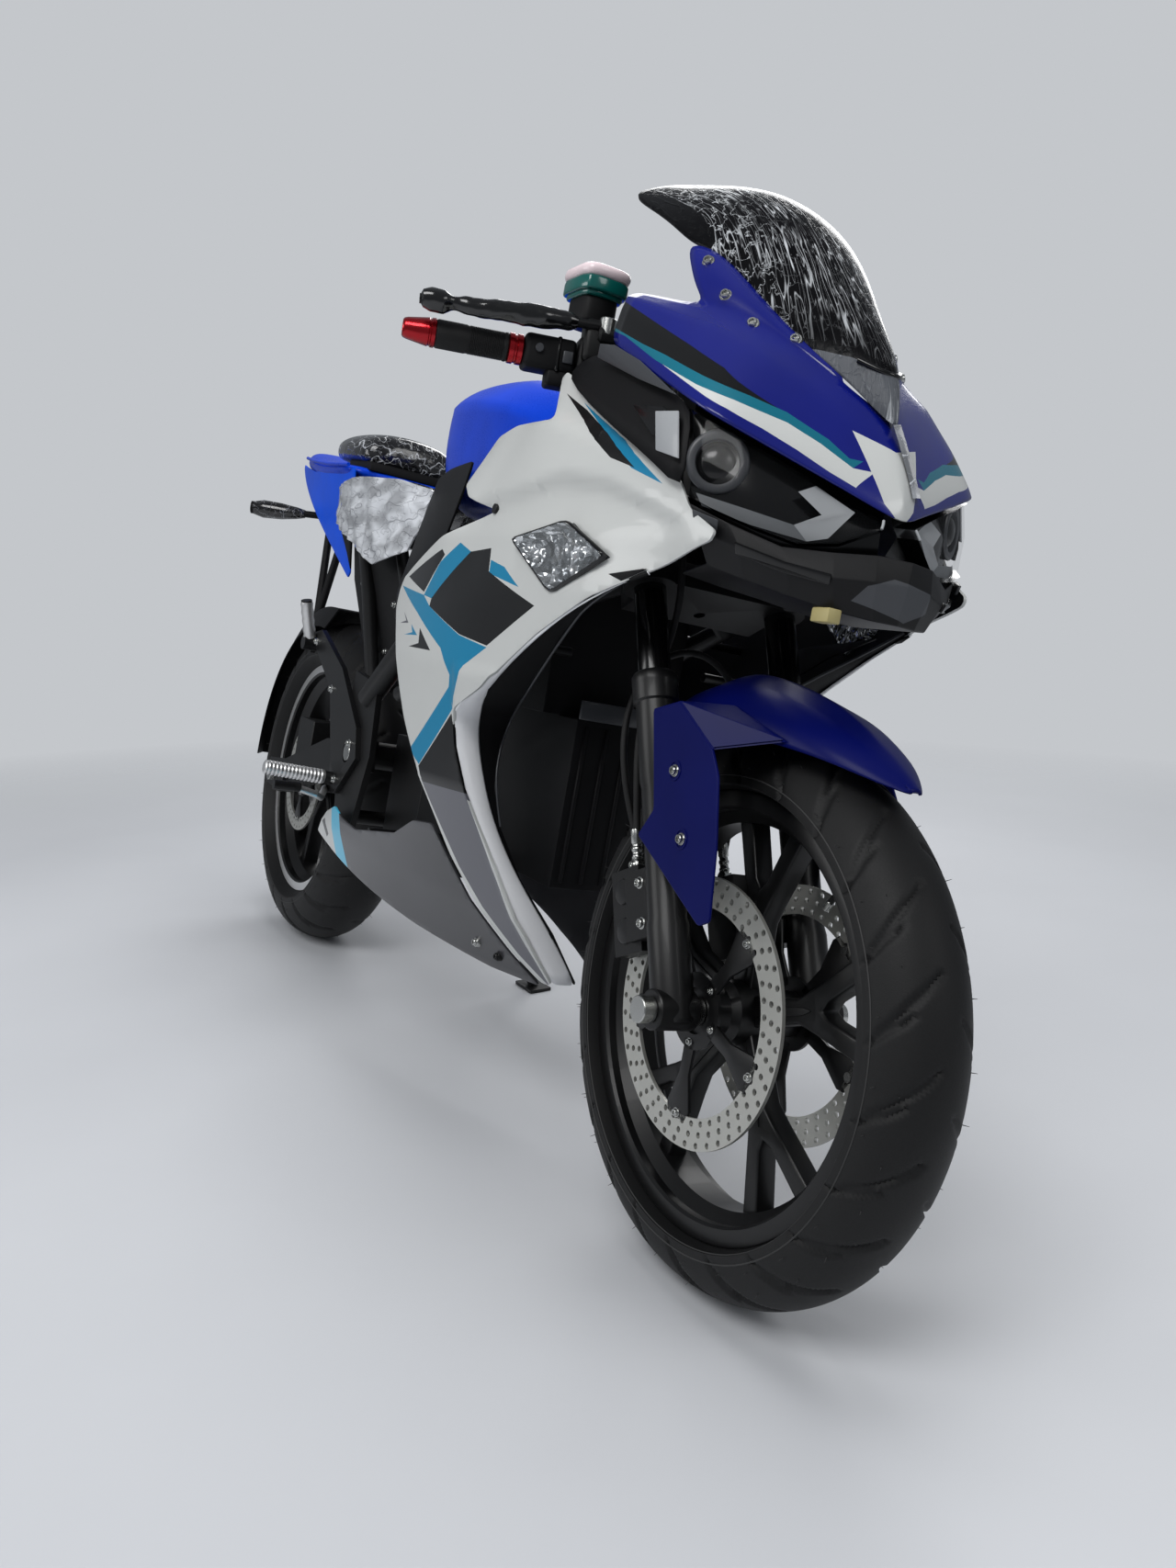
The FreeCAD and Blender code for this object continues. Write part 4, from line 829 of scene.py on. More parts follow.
@dataclass
class Wheel:
    """One wheel: tyre with its moulding hairs, and cast rim."""

    name: str
    centre: Point
    radius: float
    half: float
    flange: float
    hub: float
    hub_right: float
    hub_left: float
    bore: float
    seat: float = 218.0
    lip_r: float = 232.0
    spokes: int = 5
    steps: int = 576
    arc_steps: int = 46
    pitches: int = 22
    tread_depth: float = 3.4
    hair_count: int = 30
    lip_finish: Finish = SATIN_BLACK

    def build(self) -> None:
        """Builds the tyre, the rim and the hairs that stand clear of the ground."""
        self.tyre()
        self.rim()
        mould = Mould(self.name + "_tyre_hairs", self.name + "_wheel", "tyre_rubber")
        mould.add(self.hairs(), RUBBER)
        x, _, z = self.centre
        tall = [vert for vert in mould.bm.verts
                if math.hypot(vert.co.x - x, vert.co.z - z) > self.radius - 0.4]
        bmesh.ops.delete(mould.bm, geom=tall, context="VERTS")
        mould.stand(sharp=80)

    def groove(self, turn: float, across: float) -> float:
        """How deep the tread is cut at a place.

        Args:
            turn: Angle round the wheel in radians.
            across: Distance from the middle, in half widths along the crown's arc.

        Returns:
            The depth, from 0 to 1.
        """
        pitch = math.tau / self.pitches
        deep = 0.0
        reach = abs(across)
        shift = 0.5 if across > 0 else 0.0
        for start, end, lean, width in ((0.1, 0.86, 0.95, 0.062), (0.42, 0.97, 0.72, 0.05)):
            if start < reach < end:
                place = (turn / pitch + shift + (0.55 if start > 0.3 else 0.0)
                         - lean * (reach - start)) % 1.0
                off = min(place, 1.0 - place)
                taper = min(1.0, (reach - start) * 12.0, (end - reach) * 12.0)
                half = width * (0.45 + 0.55 * taper)
                deep = max(deep, min(1.0, max(0.0, (half - off) / 0.022)))
        return deep

    def tyre(self) -> bpy.types.Object:
        """The tyre, with its tread cut in and its side walls ringed."""
        crown = self.radius - self.half
        turns = [math.pi * index / self.arc_steps for index in range(self.arc_steps + 1)]
        arc = [(-self.half * math.cos(turn), crown + self.half * math.sin(turn)) for turn in turns]
        bead = self.flange - 4.0
        profile = ([(-bead, self.seat), (-bead, self.lip_r + 1), (-self.flange - 1, self.lip_r + 1)]
                   + arc
                   + [(self.flange + 1, self.lip_r + 1), (bead, self.lip_r + 1), (bead, self.seat)])
        bm = lathe(profile, ORIGIN, self.steps)
        for vert in bm.verts:
            radial = math.hypot(vert.co.x, vert.co.z)
            if radial < crown + 0.5:
                continue
            angle = math.atan2(vert.co.y, radial - crown)
            deep = self.groove(math.atan2(vert.co.x, vert.co.z), angle / (math.pi / 2))
            if deep:
                flat = math.cos(angle)
                out = Vector((vert.co.x / radial * flat, math.sin(angle),
                              vert.co.z / radial * flat))
                vert.co -= out * (self.tread_depth * deep)
        bmesh.ops.translate(bm, verts=bm.verts[:], vec=self.centre)
        mould = Mould.of(self.name + "_tyre", "tyre_rubber", self.name + "_wheel")
        mould.add(bm, Finish(self.name + "_tyre_rubber", RUBBER.colour, 0.6, grain=0.25,
                             grain_scale=0.8, shine=0.35))
        for side in Side:
            for ring_r in (crown - 1.5, crown + 8):
                y = side.value * (self.half - 0.6 if ring_r > crown else self.half - 1.6)
                mould.add(lathe([(y, ring_r), (y + side.value * 0.8, ring_r + 0.8),
                                 (y, ring_r + 1.6)],
                                self.centre, 144), RUBBER)
        return mould.stand(sharp=50)

    def hairs(self) -> Shape:
        """The moulding hairs that a new tyre still wears."""
        joined = bmesh.new()
        crown = self.radius - self.half
        for row, angle in enumerate((-72, -48, -20, 20, 48, 72)):
            for index in range(self.hair_count):
                uneven = 0.17 * row + 0.3 * ((index * 7 + row * 3) % 5) / 5
                turn = math.tau * (index + uneven) / self.hair_count
                lift = math.radians(angle)
                out = Vector((math.sin(turn) * math.cos(lift), math.sin(lift),
                              math.cos(turn) * math.cos(lift)))
                root = Vector((math.sin(turn) * crown, 0,
                               math.cos(turn) * crown)) + out * (self.half - 0.3)
                tip = root + out * (4.0 + (index * 5 + row) % 4)
                hair = bmesh.new()
                bmesh.ops.create_cone(hair, cap_ends=True, segments=4, radius1=0.5, radius2=0.2,
                                      depth=(tip - root).length)
                turn_to = (tip - root).to_track_quat("Z", "Y").to_matrix().to_4x4()
                middle = Matrix.Translation((root + tip) / 2 + Vector(self.centre))
                bmesh.ops.transform(hair, verts=hair.verts[:], matrix=middle @ turn_to)
                pour(joined, hair)
        return joined

    def rim(self) -> bpy.types.Object:
        """The cast rim: drop-centre barrel, hub and Y spokes."""
        seat, flange = self.seat, self.flange
        mould = Mould.of(self.name + "_rim", "black_gloss", self.name + "_wheel")
        mould.add(lathe([
            (-flange, self.lip_r - 1.5), (-flange + 1, self.lip_r), (-flange + 3, self.lip_r),
            (-flange + 4, seat), (-0.72 * flange, seat), (-0.5 * flange, seat - 11),
            (0.5 * flange, seat - 11), (0.72 * flange, seat), (flange - 4, seat),
            (flange - 3, self.lip_r), (flange - 1, self.lip_r), (flange, self.lip_r - 1.5),
            (flange, seat - 3), (flange - 3, seat - 6), (0.7 * flange, seat - 6),
            (0.42 * flange, seat - 18), (-0.42 * flange, seat - 18), (-0.7 * flange, seat - 6),
            (-flange + 3, seat - 6), (-flange, seat - 3)],
            self.centre, 144), SATIN_BLACK)
        if self.lip_finish is not SATIN_BLACK:
            for side in Side:
                y = side.value * (flange + 0.15)
                mould.add(lathe([(y, self.lip_r - 1), (y, seat - 2),
                                 (y - side.value * 3, seat - 2.4),
                                 (y - side.value * 3, self.lip_r - 1.4)], self.centre, 144),
                          self.lip_finish)
        hub_r = self.hub
        mould.add(lathe([
            (-self.hub_right, self.bore), (-self.hub_right, hub_r * 0.72),
            (-0.62 * self.hub_right, hub_r * 0.78), (-0.5 * self.hub_right, hub_r),
            (0.5 * self.hub_left, hub_r), (0.62 * self.hub_left, hub_r * 0.78),
            (self.hub_left, hub_r * 0.72), (self.hub_left, self.bore)], self.centre, 72),
                  SATIN_BLACK)
        fork_r, reach = 0.52 * seat, seat - 14
        thick = 0.3 * flange
        for index in range(self.spokes):
            spoke = prism([(u, -thick, r) for u, r in (
                (-17, 0.5 * hub_r), (17, 0.5 * hub_r), (12.5, fork_r - 14), (22, fork_r + 10),
                (56, reach - 6), (35, reach + 2), (9, fork_r + 30), (0, fork_r + 20),
                (-9, fork_r + 30), (-35, reach + 2), (-56, reach - 6), (-22, fork_r + 10),
                (-12.5, fork_r - 14))], (0, 2 * thick, 0),
                          3.2, 3)
            rib = prism([(u, -thick - 1.5, r) for u, r in (
                (-6, 0.9 * hub_r), (6, 0.9 * hub_r), (4, fork_r - 6), (0, fork_r + 8),
                (-4, fork_r - 6))],
                (0, 2 * thick + 3, 0), 1.2)
            for part in (spoke, rib):
                turn = math.tau * index / self.spokes
                mould.add(about_axle(part, turn, self.centre), SATIN_BLACK)
        outward = Vector((math.sin(0.6), 0, math.cos(0.6)))
        stem = Vector(self.centre) + outward * (seat - 22)
        mould.add(rounded_rod(stem, stem - outward * 24, 3.2), SOFT_RUBBER)
        mould.add(rounded_rod(stem - outward * 22, stem - outward * 34, 3.9), ZINC)
        return mould.stand()


# round the edge of one drilled cell, in cell sizes from its middle
CELL: Sequence[Pair] = ((-0.5, -0.5), (0, -0.5), (0.5, -0.5), (0.5, 0), (0.5, 0.5), (0, 0.5),
                        (-0.5, 0.5), (-0.5, 0))


@dataclass
class Disc:
    """A drilled brake disc on a black carrier."""

    centre: Point
    radius: float
    hub: float
    sign: float
    columns: int = 44
    rows: int = 3
    thick: float = 4.0
    bolts: int = 5

    def ring(self) -> Shape:
        """The friction ring, one drilled cell at a time."""
        inner = 0.77 * self.radius
        bm = bmesh.new()
        turn = math.tau / self.columns
        rise = (self.radius - inner) / self.rows
        hole = 0.024 * self.radius
        for column in range(self.columns):
            for row in range(self.rows):
                mid = inner + (row + 0.5) * rise
                outer, cut = [], []
                for index, (u, v) in enumerate(CELL):
                    angle, r = (column + 0.5 + u) * turn, mid + v * rise
                    outer.append(bm.verts.new((r * math.sin(angle), 0, r * math.cos(angle))))
                    way = math.radians(225 + 45 * index)
                    centre_turn = (column + 0.5 + 0.26 * (row - 1)) * turn
                    r = mid + hole * math.sin(way)
                    angle = centre_turn + hole * math.cos(way) / mid
                    cut.append(bm.verts.new((r * math.sin(angle), 0, r * math.cos(angle))))
                for index in range(8):
                    after = (index + 1) % 8
                    bm.faces.new((outer[index], outer[after], cut[after], cut[index]))
        bmesh.ops.remove_doubles(bm, verts=bm.verts[:], dist=0.01)
        bmesh.ops.recalc_face_normals(bm, faces=bm.faces[:])
        bmesh.ops.translate(bm, verts=bm.verts[:], vec=(0, -self.thick / 2, 0))
        if bm.faces[0].normal.y > 0:
            bmesh.ops.reverse_faces(bm, faces=bm.faces[:])
        pushed(bm, (0, self.thick, 0))
        bmesh.ops.translate(bm, verts=bm.verts[:], vec=self.centre)
        return bm

    def fill(self, mould: Mould) -> None:
        """Adds ring, carrier and bolts to a mould."""
        mould.add(self.ring(), self.steel())
        inner = 0.77 * self.radius
        half = self.thick / 2
        mould.add(lathe([(-half, self.hub), (half, self.hub), (half, self.hub + 16),
                         (-half, self.hub + 16)],
                        self.centre, 72), SATIN_BLACK)
        for index in range(self.bolts):
            turn = math.tau * (index + 0.5) / self.bolts
            arm = prism([(u, -half, r) for u, r in (
                (-9, self.hub + 6), (9, self.hub + 6), (8, 0.62 * inner), (20, inner - 6),
                (17, inner + 4), (0, inner + 8), (-17, inner + 4), (-20, inner - 6),
                (-8, 0.62 * inner))],
                        (0, self.thick, 0), 0.8)
            mould.add(about_axle(arm, turn, self.centre), SATIN_BLACK)
            for reach, size in ((self.hub + 9, 3.4), (inner + 1, 4.2)):
                spot = (math.sin(turn) * reach, self.sign * half, math.cos(turn) * reach)
                place = Vector(self.centre) + Vector(spot)
                mould.add(bolt(place, (0, self.sign, 0), size), ZINC)

    def steel(self) -> bpy.types.Material:
        """Steel with fine specks in its roughness and a light bump."""
        known = bpy.data.materials.get(STEEL.name)
        if known:
            return known
        net = STEEL.net()
        place = net.object_place()
        speck = net.noise(place, 0.5, 5.0)
        net.feed(net.shader.inputs["Roughness"], speck * 0.22 + 0.24)
        net.bump(speck, 0.15, 0.0003)
        return net.material


# Front end


def fork_place(along: float, y: float = 0.0, ahead: float = 0.0) -> Vector:
    """A point at a height along the fork's slant from the front axle."""
    lean = math.radians(RAKE)
    return Vector((WHEELBASE - math.sin(lean) * along + math.cos(lean) * ahead, y,
                   FRONT_AXLE_Z + math.cos(lean) * along + math.sin(lean) * ahead))


@dataclass
class Fork:
    """The fork's two legs."""

    slider_top: float = 366.0
    top: float = 772.0
    slider_r: float = 22.5
    tube_r: float = 18.5

    def leg(self, side: Side) -> bpy.types.Object:
        """One leg: slider, dust seal, tube, axle clamp and cap."""
        y = side.value * FORK_Y
        up = fork_place(1, y) - fork_place(0, y)
        mould = Mould.of("fork_leg_" + side.word, "black_gloss", "steering")
        r = self.slider_r
        mould.add(turned([(0, 0), (0, r - 4), (3, r - 1), (30, r), (100, r), (108, r - 1.6),
                          (250, r - 1.6), (258, r), (345, r), (347, r + 3), (366, r + 3),
                          (368, r + 3.4), (376, r + 3.4), (380, r + 1), (381, self.tube_r),
                          (381, 0)], fork_place(-14, y), up, 48), SATIN_BLACK)
        rise = self.top - self.slider_top
        mould.add(turned([(0, 0), (0, self.tube_r), (rise - 8, self.tube_r),
                          (rise, self.tube_r - 2), (rise, 9), (rise - 4, 8), (rise - 4, 0)],
                         fork_place(self.slider_top, y), up, 48),
                  GLOSS_BLACK)
        out = side.value
        axle = Vector((WHEELBASE, 0, FRONT_AXLE_Z))
        boss = [(0, 8.6), (0, 19.5), (1.5, 21), (47.5, 21), (49, 19.5), (49, 8.6)]
        mould.add(lathe([(out * (71 + along), radius) for along, radius in boss], axle, 48),
                  SATIN_BLACK)
        for ahead in (-20, -4):
            mould.add(bolt(axle + Vector((ahead, out * 96, -19.5)), (0.2, 0, -1), 3.4), ZINC)
        return mould.stand()


@dataclass
class Fender:
    """The front mudguard with its leg guards."""

    wall: float = 2.6

    def hood(self) -> Shape:
        """The hood: sections round the wheel, each from the right edge to the crest."""
        # forward angle, edge (y, r), flank (y, r), shoulder (y, r), crest r
        sections = [
            (-40, (-66, 298), (-68, 312), (-50, 322), 326),
            (-31, (-67, 294), (-69, 318), (-46, 342), 350),
            (-23, (-67, 290), (-69, 321), (-42, 350), 366),
            (-14, (-67, 288), (-69, 319), (-40, 346), 367),
            (-5, (-67, 287), (-69, 316), (-38, 338), 352),
            (5, (-66, 288), (-67, 313), (-37, 332), 341),
            (15, (-62, 294), (-60, 312), (-33, 327), 332),
            (24, (-50, 304), (-46, 314), (-26, 323), 327),
            (31, (-26, 312), (-22, 316), (-12, 321), 324),
            (34.5, (-6, 319), (-5, 320), (-3, 321), 322)]
        rows = []
        for angle, edge, flank, shoulder, crest in sections:
            turn = math.radians(angle)
            rows.append([(WHEELBASE + math.sin(turn) * r, y, FRONT_AXLE_Z + math.cos(turn) * r)
                         for y, r in (edge, flank, shoulder, (-6, crest - 1), (0, crest))])
        bm = sheet(mirrored_rows(rows))
        creases = bm.edges.layers.float.new("crease_edge")
        for edge in bm.edges:
            a, b = edge.verts
            lengthwise = abs(abs(a.co.y) - abs(b.co.y)) < 14 and abs(a.co.x - b.co.x) > 20
            if lengthwise and 20 < abs(a.co.y) < 55:
                edge[creases] = 0.75
        return bm

    def guards(self, mould: Mould) -> None:
        """The guards outside the legs, with their bolts."""
        outline = [(1351, 590), (1386, 488), (1364, 457), (1500, 392), (1517, 400), (1506, 470),
                   (1488, 538), (1470, 563), (1398, 603)]
        for side in Side:
            y = side.value * 115.8
            mould.add(side_plate(corner_cut(outline, 4), y, y + side.value * 3.0, 1.0), SHADED_BLUE)
            mould.add(self.facets(side.value), SHADED_BLUE)
            for x, z in ((1413, 533), (1446, 468)):
                out = (0, side.value, 0)
                mould.add(turned(((0, 8.5), (0, 11), (2.2, 10.6), (2.2, 8.9)),
                                 (x, y + side.value * 1.6, z), out, 40, True), SHADED_BLUE)
                mould.add(bolt((x, y + side.value * 3.0, z), out, 5.2), ZINC)
                mould.add(rounded_rod((x, side.value * 98, z), (x, side.value * 116, z), 8.0),
                          SATIN_BLACK)

    def facets(self, sign: float) -> Shape:
        """The flat facets that join a guard to the hood."""
        corners = ((1351, 118, 591), (1398, 118, 604), (1470, 118, 564), (1352, 68, 606),
                   (1425, 68, 609), (1515, 67, 584), (1466, 67, 577))
        bm = bmesh.new()
        verts = [bm.verts.new((x, sign * y, z)) for x, y, z in corners]
        for loop in ((0, 1, 4, 3), (1, 5, 4), (1, 2, 6, 5)):
            bm.faces.new([verts[index] for index in loop])
        bmesh_facing(bm, (0, sign * 0.3, 1))
        return bevelled(pushed(bm, (0, 0, -self.wall)), 0.9, 2, 12.0)

    def build(self) -> None:
        """Builds the hood and its guards."""
        # The hood, guards and facets wear the darker copy of the blue paint: painted shade.
        hood = Mould("front_fender_hood", "steering", "blue_paint", ("front_fender",))
        hood.add(self.hood(), SHADED_BLUE)
        hood.stand(wall=self.wall, smooth_levels=2)
        guards = Mould("front_fender_guards", "steering", "blue_paint")
        self.guards(guards)
        guards.stand(sharp=9)


@dataclass
class Bars:
    """The clip-on bars with grips, switches, levers and the fluid cup."""

    reach: Point = (-81.0, -268.5, -11.2)
    cap: float = 38.0
    rubber: float = 84.0
    collar: float = 17.0
    cup_seat: Point = (-35.5, -57.0, 71.3)

    def __post_init__(self) -> None:
        """Finds the bar's root and its three directions."""
        self.root = fork_place(751, -FORK_Y)
        self.way = Vector(self.reach).normalized()
        self.length = Vector(self.reach).length
        self.ahead = Vector((-self.way.y, self.way.x, 0)).normalized()
        self.up = self.way.cross(self.ahead)

    def place(self, along: float, ahead: float = 0.0, up: float = 0.0) -> Vector:
        """A point along the right bar, set ahead of it and over it."""
        return self.root + self.way * along + self.ahead * ahead + self.up * up

    def block(self, span: Pair, ahead: Pair, up: Pair, bevel: float = 4.0) -> Shape:
        """A block that lies along the bar."""
        around = ((ahead[0], up[0]), (ahead[1], up[0]), (ahead[1], up[1]), (ahead[0], up[1]))
        corners = [self.place(span[0], out, rise) for out, rise in around]
        return prism(corners, self.way * (span[1] - span[0]), bevel, 3)

    def grip(self) -> Shape:
        """The rubber grip, ribbed along its inner part."""
        profile: List[Pair] = [(0, 0), (0, 15.0), (1.5, 16.4), (4, 16.4), (5, 15.6)]
        for index in range(20):
            along = 6 + index * 2
            profile += [(along, 15.4), (along + 0.5, 16.1), (along + 1.2, 16.1),
                        (along + 1.6, 15.4)]
        profile += [(48, 15.6), (50, 16.2), (self.rubber - 2, 16.2), (self.rubber, 15.2),
                    (self.rubber, 0)]
        start = self.length - self.cap - self.rubber
        return turned(profile, self.place(start), self.way, 40)

    def side(self, side: Side) -> None:
        """Builds one side's bar."""
        mould = Mould.of("handlebar_" + side.word, "black_gloss", "steering")
        cap = self.length - self.cap
        collar = cap - self.rubber - self.collar
        keep = mould.on(side)
        keep(rounded_rod(self.place(20), self.place(cap), 11.0), SATIN_BLACK)
        up = fork_place(1, 0) - fork_place(0, 0)
        keep(turned(((0, 18.8), (0, 26), (2, 28), (28, 28), (30, 26), (30, 18.8)),
                    fork_place(735.3, -FORK_Y), up, 40, True), CAST_BLACK)
        keep(self.grip(), SOFT_RUBBER)
        keep(turned([(0, 0), (0, 14.5), (0.8, 16.4), (5, 16.4), (6, 15), (7.5, 15), (8.5, 16),
                     (12, 15.4), (33, 12), (36.5, 10.8), (38, 9), (38, 6.5), (36, 5.5), (36, 0)],
                    self.place(cap),
                    self.way, 10), RED_ANODISED)
        keep(turned([(0, 0), (0, 15.5), (1, 17.3), (6.5, 17.3), (7.5, 15.8), (9.5, 15.8),
                     (10.5, 17.3), (16, 17.3), (17, 15.5), (17, 0)], self.place(collar), self.way,
                    32), RED_ANODISED)
        keep(self.block((80, collar - 0.5), (-20, 19), (-20, 19), 6), GRAIN_BLACK)
        keep(self.block((98, 104), (-20.8, 19.8), (-20.8, 19.8), 5), GLOSS_BLACK)
        keep(self.block((64, 112), (-15, 16), (-36, -17), 4), GRAIN_BLACK)
        keep(self.block((84, 96), (18, 22), (-10, 4), 1.5), GRAPHITE)
        keep(rounded_rod(self.place(124, 14, 2), self.place(124, 23, 2), 5.0), GRAPHITE)
        self.lever(keep)
        if side is Side.RIGHT:
            self.cup(keep)
        mould.stand()

    def lever(self, keep: Callable[[Shape, object], None]) -> None:
        """The brake lever in its black wrapping film, with its perch and master cylinder."""
        root = self.place(62) + Vector((34, 0, 36))
        tip = self.place(self.length) + Vector((31, 4, 28))
        keep(self.block((44, 79), (-10, 24), (-17, 24), 5), CAST_BLACK)
        keep(rounded_rod(self.place(66), root, 9.0, 2), CAST_BLACK)
        cylinder = Vector((34, 0, 27))
        keep(rounded_rod(self.place(30) + cylinder, self.place(72) + cylinder, 9.5, 3), CAST_BLACK)
        keep(tube([root, self.place(190) + Vector((34, 0, 33)), tip], 5.6), SATIN_BLACK)
        half_pivot = Vector((0, 0, 9.5))
        keep(rounded_rod(root - half_pivot, root + half_pivot, 10.0), ZINC)
        for up in (15, -9):
            keep(bolt(self.place(50, 23, up), self.ahead, 4.2), ZINC)
        start = self.place(98) + Vector((34, 0, 35))
        run = tip - start
        wrap: Sequence[Pair] = ((0, 6.5), (8, 10), (40, 12.5), (95, 12), (128, 10), (140, 7.5),
                                (146, 8), (156, 12.5), (172, 13), (180, 10), (184, 3))
        end = wrap[-1][0]
        profile = [(0.0, 0.0)] + [(along * run.length / end, line_at(wrap, along))
                                  for along in range(0, int(end), 3)]
        film = turned(profile + [(run.length, 0.0)], start, run, 28)
        keep(crumpled(film, 27.0, 1.5), BLACK_FILM)

    def cup(self, keep: Callable[[Shape, object], None]) -> None:
        """The brake fluid cup: dark bracket, teal body and pale cap."""
        base = self.root + Vector(self.cup_seat)
        outline = corner_cut([(-38, -32), (38, -32), (38, 32), (-38, 32)], 18)

        def layer(grow: float, low: float, high: float, bevel: float) -> Shape:
            """A slice of the cup, grown or shrunk about its middle."""
            corners = [(base.x + x * grow, base.y + y * grow, base.z + low) for x, y in outline]
            return prism(corners, (0, 0, high - low), bevel, 4)

        keep(layer(0.72, -30, 4, 5.0), GRAIN_BLACK)
        keep(self.block((18, 76), (2, 34), (-6, 44), 7.0), CAST_BLACK)
        keep(layer(0.84, 0, 8, 3.0), CUP_TEAL)
        keep(layer(0.96, 5, 22, 3.0), CUP_TEAL)
        keep(layer(1.0, 21, 36, 6.5), CAP_PINK)
        keep(rounded_rod(base, self.place(60), 7.0), CAST_BLACK)


# Bodywork


SKIN_LEVELS: Sequence[Tuple[float, Pair, Pair, Pair]] = (
    (200, (340, -125), (800, -118), (1130, -30)), (300, (340, -140), (800, -160), (1180, -95)),
    (450, (500, -165), (900, -212), (1250, -150)), (600, (650, -190), (1050, -228), (1350, -175)),
    (760, (700, -195), (1100, -235), (1490, -165)), (960, (750, -120), (1100, -195), (1400, -165)),
)


def level_y(level: Tuple[float, Pair, Pair, Pair], x: float) -> float:
    """The skin's y at one level, on the curve through its three points."""
    total = 0.0
    for index in range(1, 4):
        part = level[index][1]
        for other in range(1, 4):
            if other != index:
                part *= (x - level[other][0]) / (level[index][0] - level[other][0])
        total += part
    return total


def skin_y(x: float, z: float) -> float:
    """The right side skin's y at a place in side view."""
    z = min(max(z, SKIN_LEVELS[0][0]), SKIN_LEVELS[-1][0])
    low = max(index for index in range(len(SKIN_LEVELS) - 1) if SKIN_LEVELS[index][0] <= z)
    part = (z - SKIN_LEVELS[low][0]) / (SKIN_LEVELS[low + 1][0] - SKIN_LEVELS[low][0])
    return (1 - part) * level_y(SKIN_LEVELS[low], x) + part * level_y(SKIN_LEVELS[low + 1], x)


def ramp(value: float, low: float, high: float) -> float:
    """A soft step from 0 at low to 1 at high."""
    part = min(max((value - low) / (high - low), 0.0), 1.0)
    return part * part * (3 - 2 * part)


def line_at(line: Sequence[Pair], u: float) -> float:
    """The height of a broken line at u."""
    if u <= line[0][0]:
        return line[0][1]
    for (u0, v0), (u1, v1) in zip(line, line[1:]):
        if u <= u1:
            return v0 + (v1 - v0) * (u - u0) / (u1 - u0)
    return line[-1][1]


BULGE_LINE: Sequence[Pair] = ((960, 772), (1019, 793), (1137, 808), (1228, 823), (1313, 814),
                              (1405, 785), (1470, 765))
EDGE_LINE: Sequence[Pair] = ((226, 1123), (346, 1101), (452, 1080), (526, 1056), (588, 1059))
FAIRING_OUTLINE: Sequence[Pair] = (
    (1157, 951), (1250, 908), (1330, 868), (1388, 838), (1418, 816), (1442, 787), (1479, 767),
    (1476, 757), (1391, 724), (1313, 694), (1231, 650), (1124, 578), (1062, 549), (1050, 530),
    (1052, 500), (1069, 455), (1082, 408), (1101, 346), (1119, 283), (1120, 221), (1101, 218),
    (1070, 246), (1030, 300), (993, 356), (972, 411), (953, 455), (898, 520), (847, 591),
    (791, 666), (796, 690), (812, 706), (964, 757), (1092, 788), (1005, 808), (974, 826),
    (1005, 857), (1031, 884), (1080, 893), (1165, 893), (1150, 945))


def fairing_y(x: float, z: float) -> float:
    """The side fairing's outer face, with its bulge and its raised front edge."""
    y = skin_y(x, z)
    below = line_at(BULGE_LINE, x) - z
    tuck = ramp(below, -6, 12) * (1 - ramp(below, 30, 130))
    y += 9.0 * tuck * ramp(x, 950, 1080) * (1 - ramp(x, 1400, 1470))
    ridge = z - (885 - 0.27 * max(0.0, x - 1180))
    y += 7.0 * ramp(ridge, 0, 18) * ramp(x, 1050, 1200) * (1 - ramp(x, 1370, 1420))
    if z < 600:
        y -= 4.0 * ramp(x - line_at(EDGE_LINE, z), -6, 4)
    return y


@dataclass(frozen=True)
class Livery:
    """The paint scheme, in side view."""

    teal: Tuple[Tuple[Pair, ...], ...] = (
        ((810, 695), (912, 658), (955, 668), (927, 682)),
        ((912, 658), (1012, 617), (1061, 636), (955, 668)),
        ((1012, 617), (1044, 586), (1082, 601), (1132, 626), (1061, 636)),
        ((1044, 588), (1040, 568), (1052, 548), (1082, 601)),
        ((1044, 574), (925, 480), (956, 464), (1050, 546)),
        ((927, 682), (972, 725), (1021, 749), (1053, 738), (958, 678)),
        ((1113, 728), (1150, 720), (1189, 698), (1116, 712)),
        ((1217, 909), (1319, 859), (1398, 811), (1347, 828)),
        ((867, 628), (902, 632), (924, 629)),
        ((902, 632), (892, 643), (924, 629)),
    )
    ink: Tuple[Tuple[Pair, ...], ...] = (
        ((958, 678), (1053, 738), (1107, 742), (1114, 714), (1120, 640), (1061, 637), (955, 668)),
        ((1112, 715), (1223, 679), (1132, 628), (1061, 637)),
        ((840, 707), (972, 741), (982, 734), (925, 686)),
        ((1172, 924), (1229, 899), (1293, 864), (1352, 828), (1309, 840), (1254, 872)),
        ((1047, 540), (1063, 483), (1073, 446), (965, 443), (955, 462)),
        ((896, 613), (934, 619), (980, 612)),
        ((934, 619), (931, 639), (980, 612)),
    )
    silver: Tuple[Tuple[Pair, ...], ...] = (
        ((834, 643), (865, 647), (878, 644)),
        ((865, 647), (846, 659), (878, 644)),
        ((960, 447), (1073, 449), (1093, 343), (1115, 235), (1119, 214), (1080, 250), (1004, 352),
         (975, 416)),
    )

    def material(self) -> bpy.types.Material:
        """White paint with the scheme's blocks."""
        net = Finish("fairing_paint", WHITE.colour, 0.3, 0.0, 0.25, mottle=0.04, shine=0.35).net()
        x, _, z = net.axes(net.object_place())
        for shapes, paint in ((self.silver, SILVER), (self.teal, TEAL), (self.ink, INK)):
            mask: Optional[Value] = None
            for shape in shapes:
                one = net.inside(x, z, shape)
                mask = one if mask is None else mask.most(one)
            net.over(mask, paint)
        return net.material


